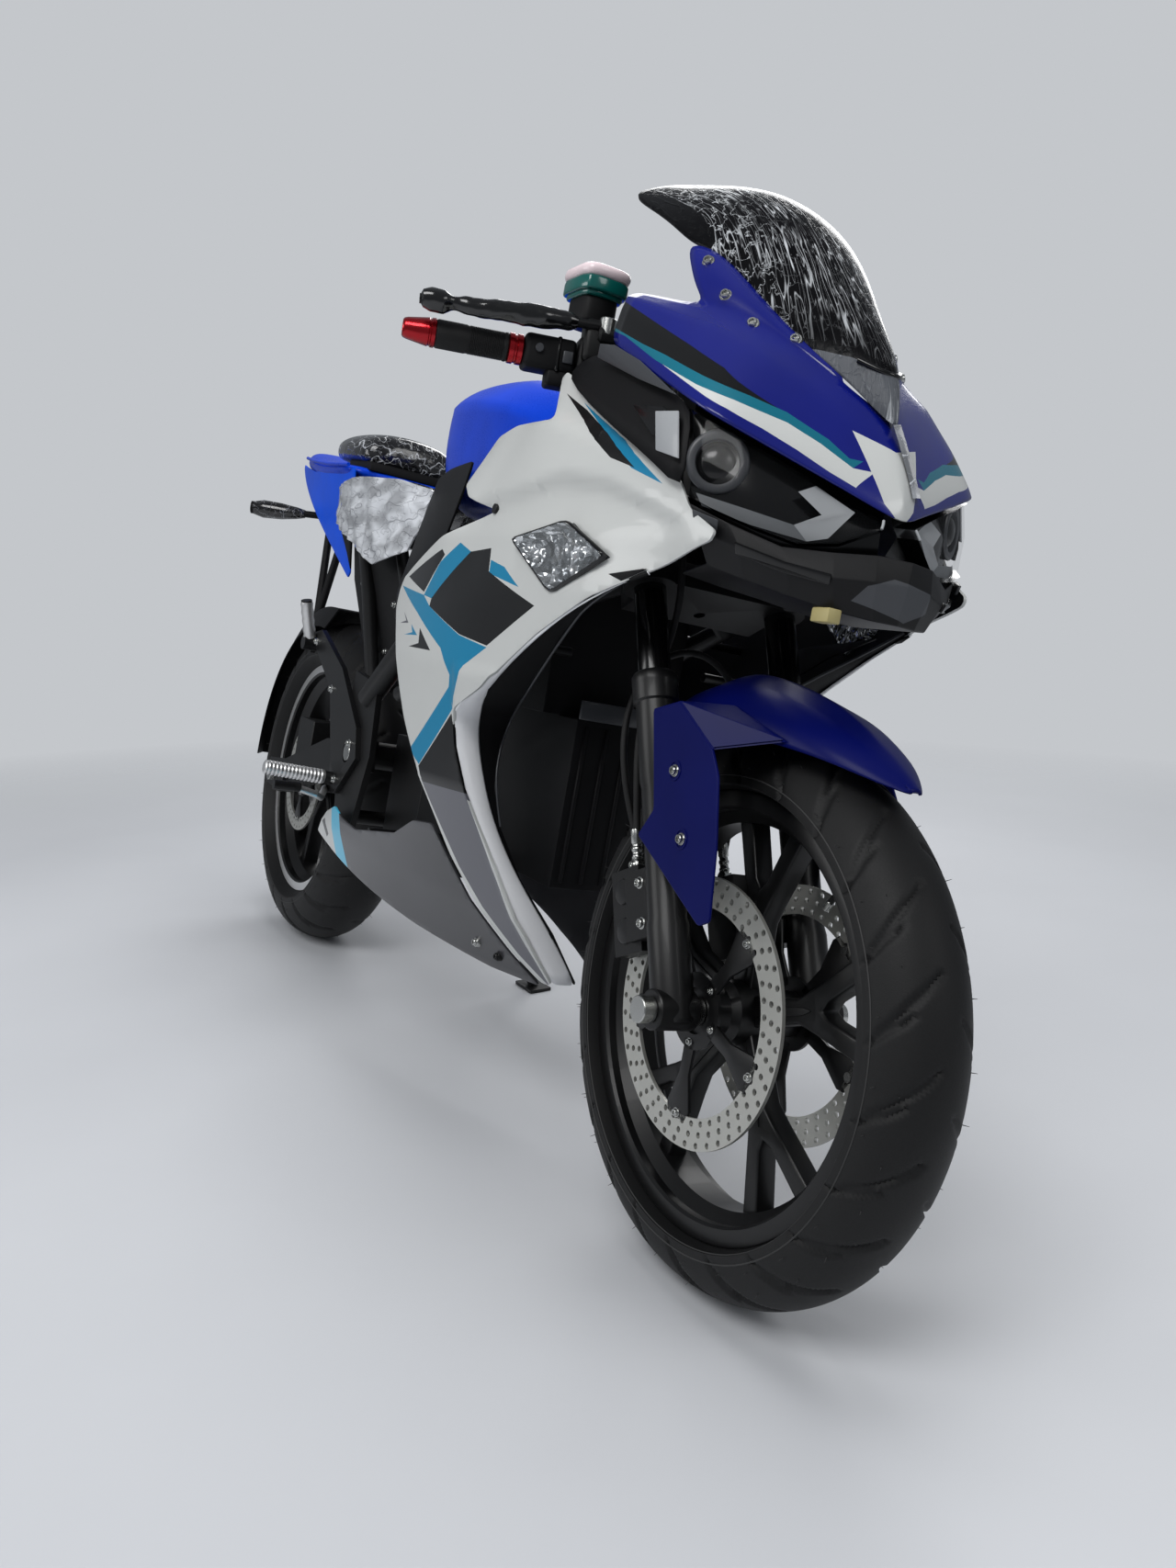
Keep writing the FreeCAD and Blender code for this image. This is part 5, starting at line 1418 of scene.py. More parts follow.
@dataclass
class Fairings:
    """Side fairings with their turn lamps, inner edge panels and belly pans."""

    step: float = 9.0
    lamp: Sequence[Pair] = ((1169, 751), (1270, 772), (1341, 736), (1252, 694))

    def build(self) -> None:
        """Builds both sides."""
        paint = Livery().material()
        for side in Side:
            panel = Mould.of("side_fairing_" + side.word, "white_paint")
            bm = self.opened(skin_panel(corner_cut(FAIRING_OUTLINE, 6), fairing_y, self.step))
            panel.on(side)(bm, paint)
            panel.stand(wall=3.6, edge=0.8, sharp=50, back=GRAIN_BLACK)
        self.flange()
        self.inner()
        self.belly()
        self.lamps()

    def opened(self, bm: Shape) -> Shape:
        """Cuts the turn lamp's opening out of a fairing."""
        middle = sum((Vector(corner) for corner in self.lamp), Vector((0, 0))) / 4
        corners = [middle + (Vector(corner) - middle) * 0.97 for corner in self.lamp]
        sides = list(zip(corners, corners[1:] + corners[:1]))
        for start, end in sides:
            bmesh.ops.bisect_plane(bm, geom=bm.verts[:] + bm.edges[:] + bm.faces[:], dist=WELD,
                                   plane_co=(start.x, 0, start.y),
                                   plane_no=(end.y - start.y, 0, start.x - end.x))

        def within(face: bmesh.types.BMFace) -> bool:
            """Whether a face lies in the opening."""
            at = face.calc_center_median()
            return all((end.x - start.x) * (at.z - start.y)
                       - (end.y - start.y) * (at.x - start.x) < 0
                       for start, end in sides)

        bmesh.ops.delete(bm, geom=[face for face in bm.faces if within(face)], context="FACES")
        return bm

    def flange(self) -> None:
        """The white flange turned in along the front edge, and the black shroud behind it."""
        # edge (x, z), flange width, shroud width
        edge = (((1391, 724), 1, 1), ((1313, 694), 3, 8), ((1231, 650), 5, 32),
                ((1124, 578), 10, 56), ((1062, 549), 38, 47), ((1050, 530), 37, 42),
                ((1052, 500), 36, 30), ((1069, 455), 33, 15), ((1082, 408), 26, 9),
                ((1101, 346), 30, 5), ((1119, 283), 43, 4), ((1120, 222), 38, 3))
        white = Mould("fairing_flanges", "chassis", "white_paint")
        shroud = Mould("fairing_shrouds", "chassis", "black_plastic")
        pale, dark, rim = [], [], []
        for (x, z), wide, deep in edge:
            y = fairing_y(x, z)
            pale.append([(x - 3, y + 0.6, z), (x + 1.5, y + 0.25 * wide + 1, z),
                         (x + 1, y + 0.75 * wide, z),
                         (x - 3, y + wide, z)])
            dark.append([(x - 5, y + wide - 2, z), (x - 6, y + wide + 0.5 * deep, z),
                         (x - 9, y + wide + deep, z + 2)])
            rim.append((x - 8, y + wide + deep, z + 2))
        white.add_both(lambda: bmesh_facing(sheet(pale), (1, 0, 0)), WHITE)
        white.stand(wall=2.6, smooth_levels=2, back=GRAIN_BLACK)
        shroud.add_both(lambda: bmesh_facing(sheet(dark), (1, 0, 0)), GRAIN_BLACK)
        # A grey tube along the shroud's rim: a painted highlight on its edge.
        shroud.add_both(lambda: tube(rim[:-3], 1.6), GRAPHITE)
        shroud.stand(sharp=60)

    def inner(self) -> None:
        """The black inner edge panels behind the wheel, in two lips."""
        mould = Mould.of("inner_fairings", "black_plastic")
        outer = [(1395, 728), (1300, 690), (1200, 646), (1080, 572), (1046, 545), (1046, 500),
                 (1062, 440), (1090, 343), (1104, 260), (1060, 300), (1030, 380), (1000, 450),
                 (990, 520), (1020, 590), (1150, 690)]
        second = [(1350, 716), (1250, 690), (1150, 646), (1070, 580), (1036, 530), (1036, 470),
                  (1062, 380), (1085, 300), (1050, 300), (1010, 400), (985, 480), (990, 560),
                  (1050, 630), (1180, 700)]
        for outline, inset in ((outer, 3.6), (second, 24.0)):
            def surface(x: float, z: float, depth: float = inset) -> float:
                """The skin, set in."""
                return skin_y(x, z) + depth
            mould.add_both(lambda: skin_panel(corner_cut(outline, 8), surface, 16.0), GRAIN_BLACK)
        mould.stand(wall=2.4, edge=0.6, sharp=50)

    def belly(self) -> None:
        """The belly pans with their pale tail fins."""
        outline = [(1092, 212), (1060, 243), (1010, 305), (958, 388), (900, 382), (820, 350),
                   (640, 322), (560, 326), (500, 336), (440, 318), (372, 274), (470, 265),
                   (685, 238), (822, 223), (930, 215), (1000, 210)]
        net = Finish("belly_paint", linear(60, 60, 64), 0.3, 0.1, 0.3, mottle=0.6, shine=0.4).net()
        x, _, z = net.axes(net.object_place())
        fin = net.inside(x, z, [(340, 240), (560, 240), (470, 360), (340, 360)])
        band = net.inside(x, z, [(530, 240), (590, 240), (520, 360), (460, 360)])
        slit = net.inside(x, z, [(418, 298), (436, 306), (470, 284), (456, 277)])
        for mask, paint in ((fin, WHITE.colour), (band, linear(70, 178, 212)), (slit, INK)):
            net.over(mask, paint)
        mould = Mould.of("belly_pans", "grey_paint")
        mould.add_both(lambda: skin_panel(corner_cut(outline, 6), lambda x, z: skin_y(x, z) + 1.0,
                                          10.0), net.material)
        for x, z, finish in ((1030, 232, SATIN_BLACK), (990, 240, ZINC)):
            mould.add_both(lambda: bolt((x, skin_y(x, z) - 1.5, z), RIGHTWARD, 5.0), finish)
        mould.stand(wall=3.0, edge=0.8, sharp=50)

    def lamps(self) -> None:
        """The turn lamps: dark rim, silver bowl with three lights, clear glass."""
        mould = Mould.of("turn_lamps", "lamp_glass")
        corners = list(self.lamp)
        middle = Vector((sum(x for x, _ in corners) / 4, sum(z for _, z in corners) / 4))

        def ringed(scale: float, out: float) -> List[Point]:
            """The lamp's outline, scaled about its middle and set out from the skin."""
            ring = []
            for x, z in corner_cut(corners, 10):
                point = middle + (Vector((x, z)) - middle) * scale
                ring.append((point.x, skin_y(point.x, point.y) - out, point.y))
            return ring

        def band(steps: Sequence[Pair], closed: bool) -> Shape:
            """A bowl or frame through scaled outlines."""
            bm, loops = bridged([ringed(scale, out) for scale, out in steps])
            if closed:
                bmesh.ops.contextual_create(bm, geom=loops[-1])
            bm.normal_update()
            return bm

        net = Finish("lamp_bowl", linear(150, 154, 158), 0.14, 0.85).net()
        place = net.object_place()
        # The bowl's facet cells are painted lighter and darker at random: painted reflections in
        # the facets.
        cells = net.node("TexVoronoi", {"feature": "F1"}, Vector=place, Scale=0.085)
        shade = Value(net, net.node("SeparateColor", {}, s0=cells.outputs["Color"]).outputs[0])
        net.paint(net.mix((shade - 0.2) * 1.4, linear(104, 108, 112), linear(236, 238, 240)))
        net.bump(Value(net, cells.outputs["Distance"]), 0.9, 0.008)
        chrome = net.material
        glass = clear_glass("turn_lamp_glass", 0.14, linear(214, 220, 224))
        mould.add_both(lambda: band(((1.03, -2.0), (1.03, 2.5), (0.985, 3.5), (0.96, 1.0)), False),
                       GLOSS_BLACK)
        mould.add_both(lambda: band(((0.96, 3.0), (0.93, -1.0), (0.8, -12.0), (0.5, -13.0)), True),
                       chrome)
        for dx, dz in ((-38, -2), (-4, -28), (34, 2)):
            place = (middle.x + dx, skin_y(middle.x + dx, middle.y + dz) + 12.0, middle.y + dz)
            mould.add_both(lambda: turned([(0, 0), (0, 13), (2, 14), (8, 15), (6, 12.5), (3, 8),
                                           (7, 6), (9, 0)],
                                          place, RIGHTWARD, 24), chrome)
        mould.add_both(lambda: band(((0.97, 2.5), (0.93, 4.6), (0.6, 5.6), (0.2, 6.0)), True),
                       glass)
        mould.stand(sharp=60)


def clear_glass(name: str, alpha: float, tint: Colour) -> bpy.types.Material:
    """Clear lamp glass: a thin gloss that lets most light through."""
    known = bpy.data.materials.get(name)
    if known:
        return known
    net = Net(name)
    net.shader.inputs["Base Color"].default_value = tint
    net.shader.inputs["Roughness"].default_value = 0.04
    net.shader.inputs["Alpha"].default_value = alpha
    net.shader.inputs["Coat Weight"].default_value = 1.0
    fine = net.noise(net.object_place(), 0.12, 2.0)
    net.bump(fine, 0.05, 0.0004)
    return net.material


@dataclass
class Nose:
    """Nose cowl, screen, headlights, cheeks and chin."""

    # lower edge, stripe, crease, ridge, top edge; from the rear forwards
    cowl: Sequence[Sequence[Point]] = (
        ((1250, -189, 968), (1249, -190, 982), (1246, -184, 1008), (1240, -176, 1026),
         (1230, -160, 1038)),
        ((1310, -189, 941), (1310, -189, 955), (1306, -179, 982), (1298, -165, 1008),
         (1284, -147, 1024)),
        ((1385, -187, 908), (1384, -184, 921), (1376, -168, 950), (1356, -149, 986),
         (1330, -130, 1014)),
        ((1418, -184, 893), (1417, -178, 906), (1410, -158, 934), (1392, -135, 972),
         (1362, -112, 1003)),
        ((1451, -180, 878), (1449, -172, 890), (1440, -147, 920), (1420, -120, 956),
         (1390, -92, 988)),
        ((1473, -140, 862), (1472, -134, 874), (1464, -114, 900), (1447, -87, 938),
         (1423, -60, 970)),
        ((1494, -100, 846), (1494, -95, 858), (1489, -80, 878), (1477, -56, 914), (1460, -36, 943)),
        ((1515, -60, 831), (1515, -56, 840), (1512, -46, 855), (1507, -26, 882), (1503, 0, 908)),
        ((1532, -28, 818), (1532, -26, 824), (1531, -21, 834), (1529, -12, 850), (1527, 0, 862)),
        ((1547, 0, 807), (1547, 0, 808), (1547, 0, 809), (1547, 0, 810), (1547, 0, 811)),
    )
    # the fin that carries the screen: from the cowl's top edge to the screen's edge
    fin: Sequence[Sequence[Point]] = (
        ((1330, -130, 1014), (1308, -134, 1036), (1283, -130, 1066), (1255, -123, 1099)),
        ((1362, -112, 1003), (1345, -120, 1030), (1321, -117, 1062), (1297, -108, 1086)),
        ((1390, -92, 988), (1380, -100, 1008), (1362, -99, 1032), (1343, -92, 1048)),
        ((1423, -60, 970), (1416, -68, 978), (1406, -71, 988), (1394, -70, 1000)),
        ((1460, -36, 943), (1459, -37, 945), (1459, -37, 947), (1458, -36, 949)),
    )
    screen: Sequence[Sequence[Point]] = (
        ((1112, -130, 1184), (1118, -95, 1204), (1124, -50, 1220), (1130, 0, 1226)),
        ((1170, -126, 1154), (1178, -95, 1182), (1186, -50, 1206), (1190, 0, 1213)),
        ((1225, -126, 1123), (1232, -98, 1158), (1240, -52, 1188), (1245, 0, 1197)),
        ((1262, -121, 1096), (1275, -98, 1132), (1288, -52, 1162), (1295, 0, 1170)),
        ((1302, -104, 1082), (1314, -86, 1108), (1328, -46, 1134), (1336, 0, 1140)),
        ((1345, -90, 1045), (1356, -72, 1068), (1372, -40, 1090), (1380, 0, 1096)),
        ((1390, -72, 1000), (1400, -56, 1020), (1415, -32, 1040), (1422, 0, 1046)),
        ((1425, -55, 974), (1436, -42, 988), (1450, -24, 1003), (1458, 0, 1007)),
        ((1462, -33, 946), (1471, -26, 957), (1482, -14, 967), (1488, 0, 971)),
        ((1492, -14, 917), (1498, -10, 922), (1503, -5, 925), (1506, 0, 927)),
        ((1506, -3, 905), (1508, -2, 906), (1509, -1, 906), (1509, 0, 906)),
    )
    lens: Sequence[Sequence[Point]] = (
        ((1423, -182, 882), (1448, -171, 870), (1473, -134, 854), (1496, -92, 837),
         (1518, -54, 820), (1540, -20, 806)),
        ((1434, -181, 842), (1462, -168, 832), (1491, -130, 817), (1513, -90, 804),
         (1531, -54, 797), (1543, -22, 801)),
        ((1440, -181, 799), (1463, -167, 789), (1490, -131, 777), (1512, -95, 769),
         (1529, -60, 776), (1544, -24, 797)),
    )

    def build(self) -> None:
        """Builds the whole nose."""
        self.cowl_piece()
        self.screen_piece()
        for side in Side:
            self.headlight(side)
        self.cheeks()
        self.chin()

    def paint(self) -> bpy.types.Material:
        """Blue paint with the stripes in side view and a pale nose patch in front view."""
        net = BLUE.net()
        x, y, z = net.axes(net.object_place())
        top = [(1236, 1022), (1290, 996), (1368, 958), (1420, 931), (1450, 909), (1470, 894),
               (1494, 875), (1508, 860)]
        seam = [(1236, 992), (1308, 962), (1350, 946), (1411, 920), (1452, 904), (1470, 895),
                (1494, 876), (1508, 861)]
        base = [(1236, 988), (1274, 974), (1340, 941), (1414, 909), (1450, 896), (1476, 884),
                (1494, 870), (1513, 852)]
        foot = [(1350, 937), (1362, 931), (1418, 903), (1453, 885), (1473, 872), (1491, 858),
                (1508, 843), (1521, 833)]
        for low, high, paint in ((seam, top, INK), (base, seam, DEEP_TEAL),
                                 (foot, base, WHITE.colour)):
            net.over(net.between(x, z, low, high), paint)
        patch = net.inside(y.size(), z, [(0, 804), (19, 823), (29, 851), (42, 891), (0, 878)])
        net.over(patch, WHITE.colour)
        return net.material

    def cowl_piece(self) -> None:
        """The cowl with its screen fins, their bolts and the silver nose ridge."""
        mould = Mould.of("nose_cowl", "blue_paint")
        paint = self.paint()
        for flip in (False, True):
            for rows in (self.cowl, self.fin):
                bm = bmesh_facing(sheet(rows), (0.5, -1, 0.6))
                mould.add(flipped(bm) if flip else bm, paint)
        bmesh.ops.remove_doubles(mould.bm, verts=mould.bm.verts[:], dist=0.05)
        ridge = {tuple(round(value) for value in row[column]): share
                 for row in self.cowl[:-2] for column, share in ((2, 0.45), (3, 0.8))}
        creases = mould.bm.edges.layers.float.new("crease_edge")
        for edge in mould.bm.edges:
            ends = [ridge.get((round(vert.co.x), -round(abs(vert.co.y)), round(vert.co.z)))
                    for vert in edge.verts]
            if ends[0] and ends[0] == ends[1]:
                edge[creases] = ends[0]
        mould.stand(wall=3.0, smooth_levels=2, back=GRAIN_BLACK)
        trim = Mould("screen_bolts", "chassis", "blue_paint")
        for place in ((1300, -119, 1069), (1343, -117, 1026), (1380, -102, 995), (1410, -67, 984)):
            trim.add_both(lambda: bolt(place, (0.5, -0.8, 0.35), 5.6), ZINC)
        crest = [(1508, 1, 904), (1513, 7, 889), (1519, 14, 870), (1526, 20, 850), (1531, 23, 836)]
        rows = [[Vector(point) + Vector((1.2 * out - 0.3 * across, across, 0.4 * out))
                 for point in crest]
                for across, out in ((-7, 0.5), (-3.5, 3), (0, 4.5), (3.5, 3), (7, 0.5))]
        trim.add(bmesh_facing(sheet(rows), (1, 0, 0.3)),
                 film_over("silver_ridge_in_film", linear(150, 153, 158), 0.12))
        trim.stand()

    def screen_piece(self) -> None:
        """The smoked screen in its crinkled wrapping film, over a silver tip; the film's folds are
        painted pale as painted highlights.
        """
        net = Net("smoked_screen_in_film")
        place = net.object_place()
        x, y, z = net.axes(place)
        streaks = net.folds(place, 0.15, (0.08, 1.0, 0.08), 0.022, 1.0)
        fine = net.folds(place, 0.36, (0.06, 1.0, 0.06), 0.022, 1.0)
        crumples = net.folds(place, 0.05, (1.0, 1.4, 1.2), 0.014, 4.0)
        patches = ((net.noise(place, 0.014, 2.0) - 0.44) * 7.0).held()
        flank = ((y.size() - 52.0) * 0.03).held()
        # The film's streaks and crumples are painted pale: painted highlights, stronger on the
        # flanks and fainter over the bare sides and the mouth.
        film = (streaks * 0.9).most(fine * 0.45) * (patches * 0.8 + 0.2)
        fold_light_mask = film.most(crumples * (flank * 0.8 + 0.05))
        bare = (y.size() > 106.0) * (1.0 - (x > 1286.0))
        rim = [(0.0, 954.0), (14.0, 960.0), (30.0, 970.0), (50.0, 976.0), (70.0, 978.0)]
        glass = net.above(y.size(), z, rim)
        mouth = glass - net.above(y.size(), z, [(across, up + 11.0) for across, up in rim])
        fold_light_mask = fold_light_mask * (1.0 - bare) * (1.0 - mouth * 0.8)
        ground = net.mix(glass, linear(84, 87, 92), linear(10, 10, 12))
        net.paint(net.mix(fold_light_mask, ground, linear(206, 210, 214)))
        net.feed(net.shader.inputs["Roughness"], fold_light_mask * 0.2 + 0.16)
        net.shader.inputs["Specular IOR Level"].default_value = 0.06
        net.feed(net.shader.inputs["Alpha"], fold_light_mask * 0.06 + 0.94)
        net.bump(streaks * 0.6 + crumples * 0.4, 0.5, 0.0025)
        mould = Mould.of("windscreen", "smoked_screen")
        mould.add(bmesh_facing(sheet(mirrored_rows(self.screen)), (0.5, 0, 1)), net.material)
        mould.stand(wall=3.0, smooth_levels=3)
        lip = Mould("windscreen_mouth", "chassis", "smoked_screen")
        lip.add(tube([(1466, -28, 967), (1482, -15, 959), (1492, 0, 955), (1482, 15, 959),
                      (1466, 28, 967)], 3.0),
                GLOSS_BLACK)
        lip.stand()

    def headlight(self, side: Side) -> None:
        """One headlight: dark bowl, projector, pale light guides, clear glass and a painted
        highlight along the glass's inner edge.
        """
        mould = Mould.of("headlight_" + side.word, "lamp_glass")
        keep = mould.on(side)
        facing = (1.0, -0.9, 0.2)
        back = [[(x - 16, y + 13, z) for x, y, z in row] for row in self.lens]
        masks = [[(x - 24, y + 20, z + 30) for x, y, z in self.lens[0]]] + back
        masks.append([(x - 22, y + 20, z - 22) for x, y, z in self.lens[2]])
        keep(bmesh_facing(sheet(masks), facing), GLOSS_BLACK)
        keep(bmesh_facing(sheet([self.lens[0], back[0]]), (0.2, -0.2, -1)), GLOSS_BLACK)
        keep(bmesh_facing(sheet([self.lens[2], back[2]]), (0, 0, 1)), GLOSS_BLACK)
        look = Vector((0.84, -0.53, 0.04)).normalized()
        eye = Vector((1448, -158, 836))
        keep(turned([(0, 0), (0, 27), (3, 29), (5, 29), (4, 22), (1, 20), (3, 18), (7, 13), (9, 7),
                     (9.5, 0)],
                    eye - look * 8, look, 40), GLOSS_BLACK)
        keep(turned(((0, 21), (0, 30), (3, 31), (4.5, 30), (5.5, 27), (4.5, 22)), eye - look * 5,
                    look, 40, True),
             GRAPHITE)
        inset = Vector((-5, 3.5, 0))
        arm = [(1447, -176, 803), (1483, -140, 794), (1507, -99, 787), (1513, -85, 774),
               (1486, -134, 780), (1455, -172, 791)]
        block = [(1503, -98, 819), (1504, -79, 829), (1527, -45, 810), (1524, -69, 780),
                 (1513, -85, 774), (1507, -99, 787), (1518, -77, 801)]
        for corners, loops, finish in ((arm, ((0, 1, 4, 5), (1, 2, 3, 4)), GUIDE_DARK),
                                       (block, ((0, 1, 2, 6), (2, 3, 5, 6), (3, 4, 5)),
                                        GUIDE_PALE)):
            plate = bmesh.new()
            verts = [plate.verts.new(Vector(corner) + inset) for corner in corners]
            for loop in loops:
                plate.faces.new([verts[index] for index in loop])
            keep(bmesh_facing(plate, facing), finish)
        glass = [[Vector(point) + Vector((-3, 2, 0)) for point in row] for row in self.lens]
        keep(bmesh_facing(sheet(glass), facing),
             clear_glass("headlight_glass", 0.1, linear(16, 17, 19)))
        # A pale tube along the lens's inner edge stands for the glass's bright edge: a painted
        # highlight.
        keep(tube([Vector(row[-1]) + Vector((1, -1, 0)) for row in self.lens], 1.4), GUIDE_PALE)
        mould.stand(sharp=45)

    def cheeks(self) -> None:
        """The dark panels between the cowl and the side fairings."""
        rows = (((1168, -171, 974), (1240, -182, 966), (1310, -184, 937), (1385, -183, 904),
                 (1425, -181, 882)),
                ((1166, -186, 958), (1240, -192, 930), (1312, -191, 902), (1378, -188, 872),
                 (1428, -185, 848)),
                ((1164, -196, 944), (1244, -203, 902), (1326, -201, 862), (1392, -194, 830),
                 (1440, -186, 797)))
        mould = Mould("nose_cheeks", "chassis", "black_plastic")
        mould.add_both(lambda: bmesh_facing(sheet(rows), RIGHTWARD), GRAIN_BLACK)
        mould.stand(wall=2.4, smooth_levels=1)
        trim = Mould("nose_cheek_trims", "chassis", "black_plastic")
        for corners, finish in (
                (((1330, -194, 893), (1388, -192, 886), (1418, -189, 872), (1412, -190, 850),
                  (1380, -194, 858)), GLOSS_BLACK),
                (((1378, -194, 882), (1416, -191, 879), (1430, -190, 832), (1392, -194, 842)),
                 GUIDE_PALE),
                (((1228, -191, 972), (1260, -190, 966), (1321, -190, 941), (1404, -189, 896),
                  (1330, -193, 920), (1231, -193, 956)), GRAPHITE)):
            trim.add_both(lambda: prism(corners, (0, -2.5, 0), 1.0), finish)
        trim.stand()

    def chin(self) -> None:
        """The chin under the headlights."""
        rows = (((1440, -176, 792), (1472, -150, 778), (1506, -108, 764), (1536, -70, 766),
                 (1560, -35, 770), (1570, 0, 770)),
                ((1444, -166, 768), (1480, -140, 757), (1516, -104, 746), (1545, -70, 741),
                 (1564, -35, 744), (1570, 0, 746)),
                ((1436, -142, 740), (1470, -118, 730), (1506, -90, 720), (1538, -60, 712),
                 (1558, -28, 709), (1565, 0, 709)),
                ((1380, -132, 732), (1410, -100, 724), (1440, -76, 718), (1460, -50, 712),
                 (1470, -24, 709), (1474, 0, 709)))
        mould = Mould.of("chin", "black_plastic")
        # The chin is painted near black as painted shade under the headlights; the grey plane keeps
        # the chin's own grey.
        net = Finish("chin_plastic", linear(13, 13, 15), 0.5, 0.0, 0.0, 0.3, 1.6, shine=0.3).net()
        x, y, z = net.axes(net.object_place())
        plane = net.inside(y, z, [(-50, 724), (-41, 740), (-16, 751), (34, 746), (40, 728),
                                  (7, 713)])
        net.over(plane, linear(70, 72, 76))
        mould.add(bmesh_facing(sheet(mirrored_rows(rows)), (0.7, 0, -0.7)), net.material)
        mould.stand(wall=2.6, edge=1.6, sharp=6)
        trim = Mould("chin_trims", "chassis", "black_plastic")
        slot = ((1478, -142, 762), (1514, -106, 750), (1543, -72, 745), (1540, -70, 736),
                (1510, -103, 741), (1474, -136, 752))
        trim.add_both(lambda: prism(slot, (3, -3, -2), 1.0), GLOSS_BLACK)
        trim.add_both(lambda: prism([(1446, -176, 786), (1470, -160, 778), (1468, -158, 768),
                                     (1446, -172, 775)],
                                    (3, -2, 0), 1.0), GRAPHITE)
        trim.add(box((1520, -70, 700), (1546, -54, 714), 1.5),
                 Finish("connector_plastic", linear(176, 164, 112), 0.5))
        trim.stand()


def bmesh_facing(bm: Shape, way: Point) -> Shape:
    """Turns a sheet's faces so that they look the given way on the whole."""
    bmesh.ops.recalc_face_normals(bm, faces=bm.faces[:])
    bm.normal_update()
    if sum(face.normal.dot(Vector(way)) * face.calc_area() for face in bm.faces) < 0:
        bmesh.ops.reverse_faces(bm, faces=bm.faces[:])
    return bm


def ringed_loft(sections: Sequence[Tuple[float, Sequence[Pair]]]) -> Shape:
    """A solid through rings at x, each from right-half (y, z) points given from the bottom up."""
    rings = []
    for x, points in sections:
        right = [(x, y, z) for y, z in points]
        left = [(x, -y, z) for y, z in reversed(points) if abs(y) > TINY]
        rings.append(right + left)
    return closed_loft(rings)


def film_over(name: str, under: Colour, rough: float, cover: float = 1.0,
              crease: Colour = linear(222, 226, 232)) -> bpy.types.Material:
    """A surface seen through crinkled clear wrapping film, whose folds carry painted highlights.

    Args:
        name: The material's name.
        under: The colour under the film.
        rough: The film's roughness where it lies flat.
        cover: How strongly the folds show.
        crease: The colour painted along the folds: a painted highlight when pale, painted shade
            when dark.

    Returns:
        The material.
    """
    known = bpy.data.materials.get(name)
    if known:
        return known
    net = Net(name)
    place = net.object_place()
    long_folds = net.folds(place, 0.03, (0.5, 1.3, 1.3), 0.02, 1.5)
    short_folds = net.folds(place, 0.07, (0.5, 1.1, 1.2), 0.016, 1.5)
    patches = ((net.noise(place, 0.016, 2.0) - 0.40) * 5.0).held()
    # The folds are painted in the crease colour: painted highlights along the folds, and painted
    # shade where that colour is dark.
    fold_light_mask = (long_folds.most(short_folds * 0.6) * (patches * 0.85 + 0.15) * cover).least(1.0)
    shade = tuple(part * 0.5 for part in under[:3]) + (1.0,)
    broad = ((net.noise(place, 0.024, 1.0, (0.8, 1.5, 1.6)) - 0.36) * 4.0).held()
    ground = net.mix(broad, shade, under)
    net.paint(net.mix(fold_light_mask, ground, crease))
    net.feed(net.shader.inputs["Roughness"], fold_light_mask * 0.15 + rough)
    net.shader.inputs["Coat Weight"].default_value = 0.5
    net.bump(long_folds * 0.6 + short_folds * 0.4 + broad * 0.4, 0.6, 0.004)
    return net.material


CLOTH_FRAMES = 20
CLOTH_PRESSURE = 4.0


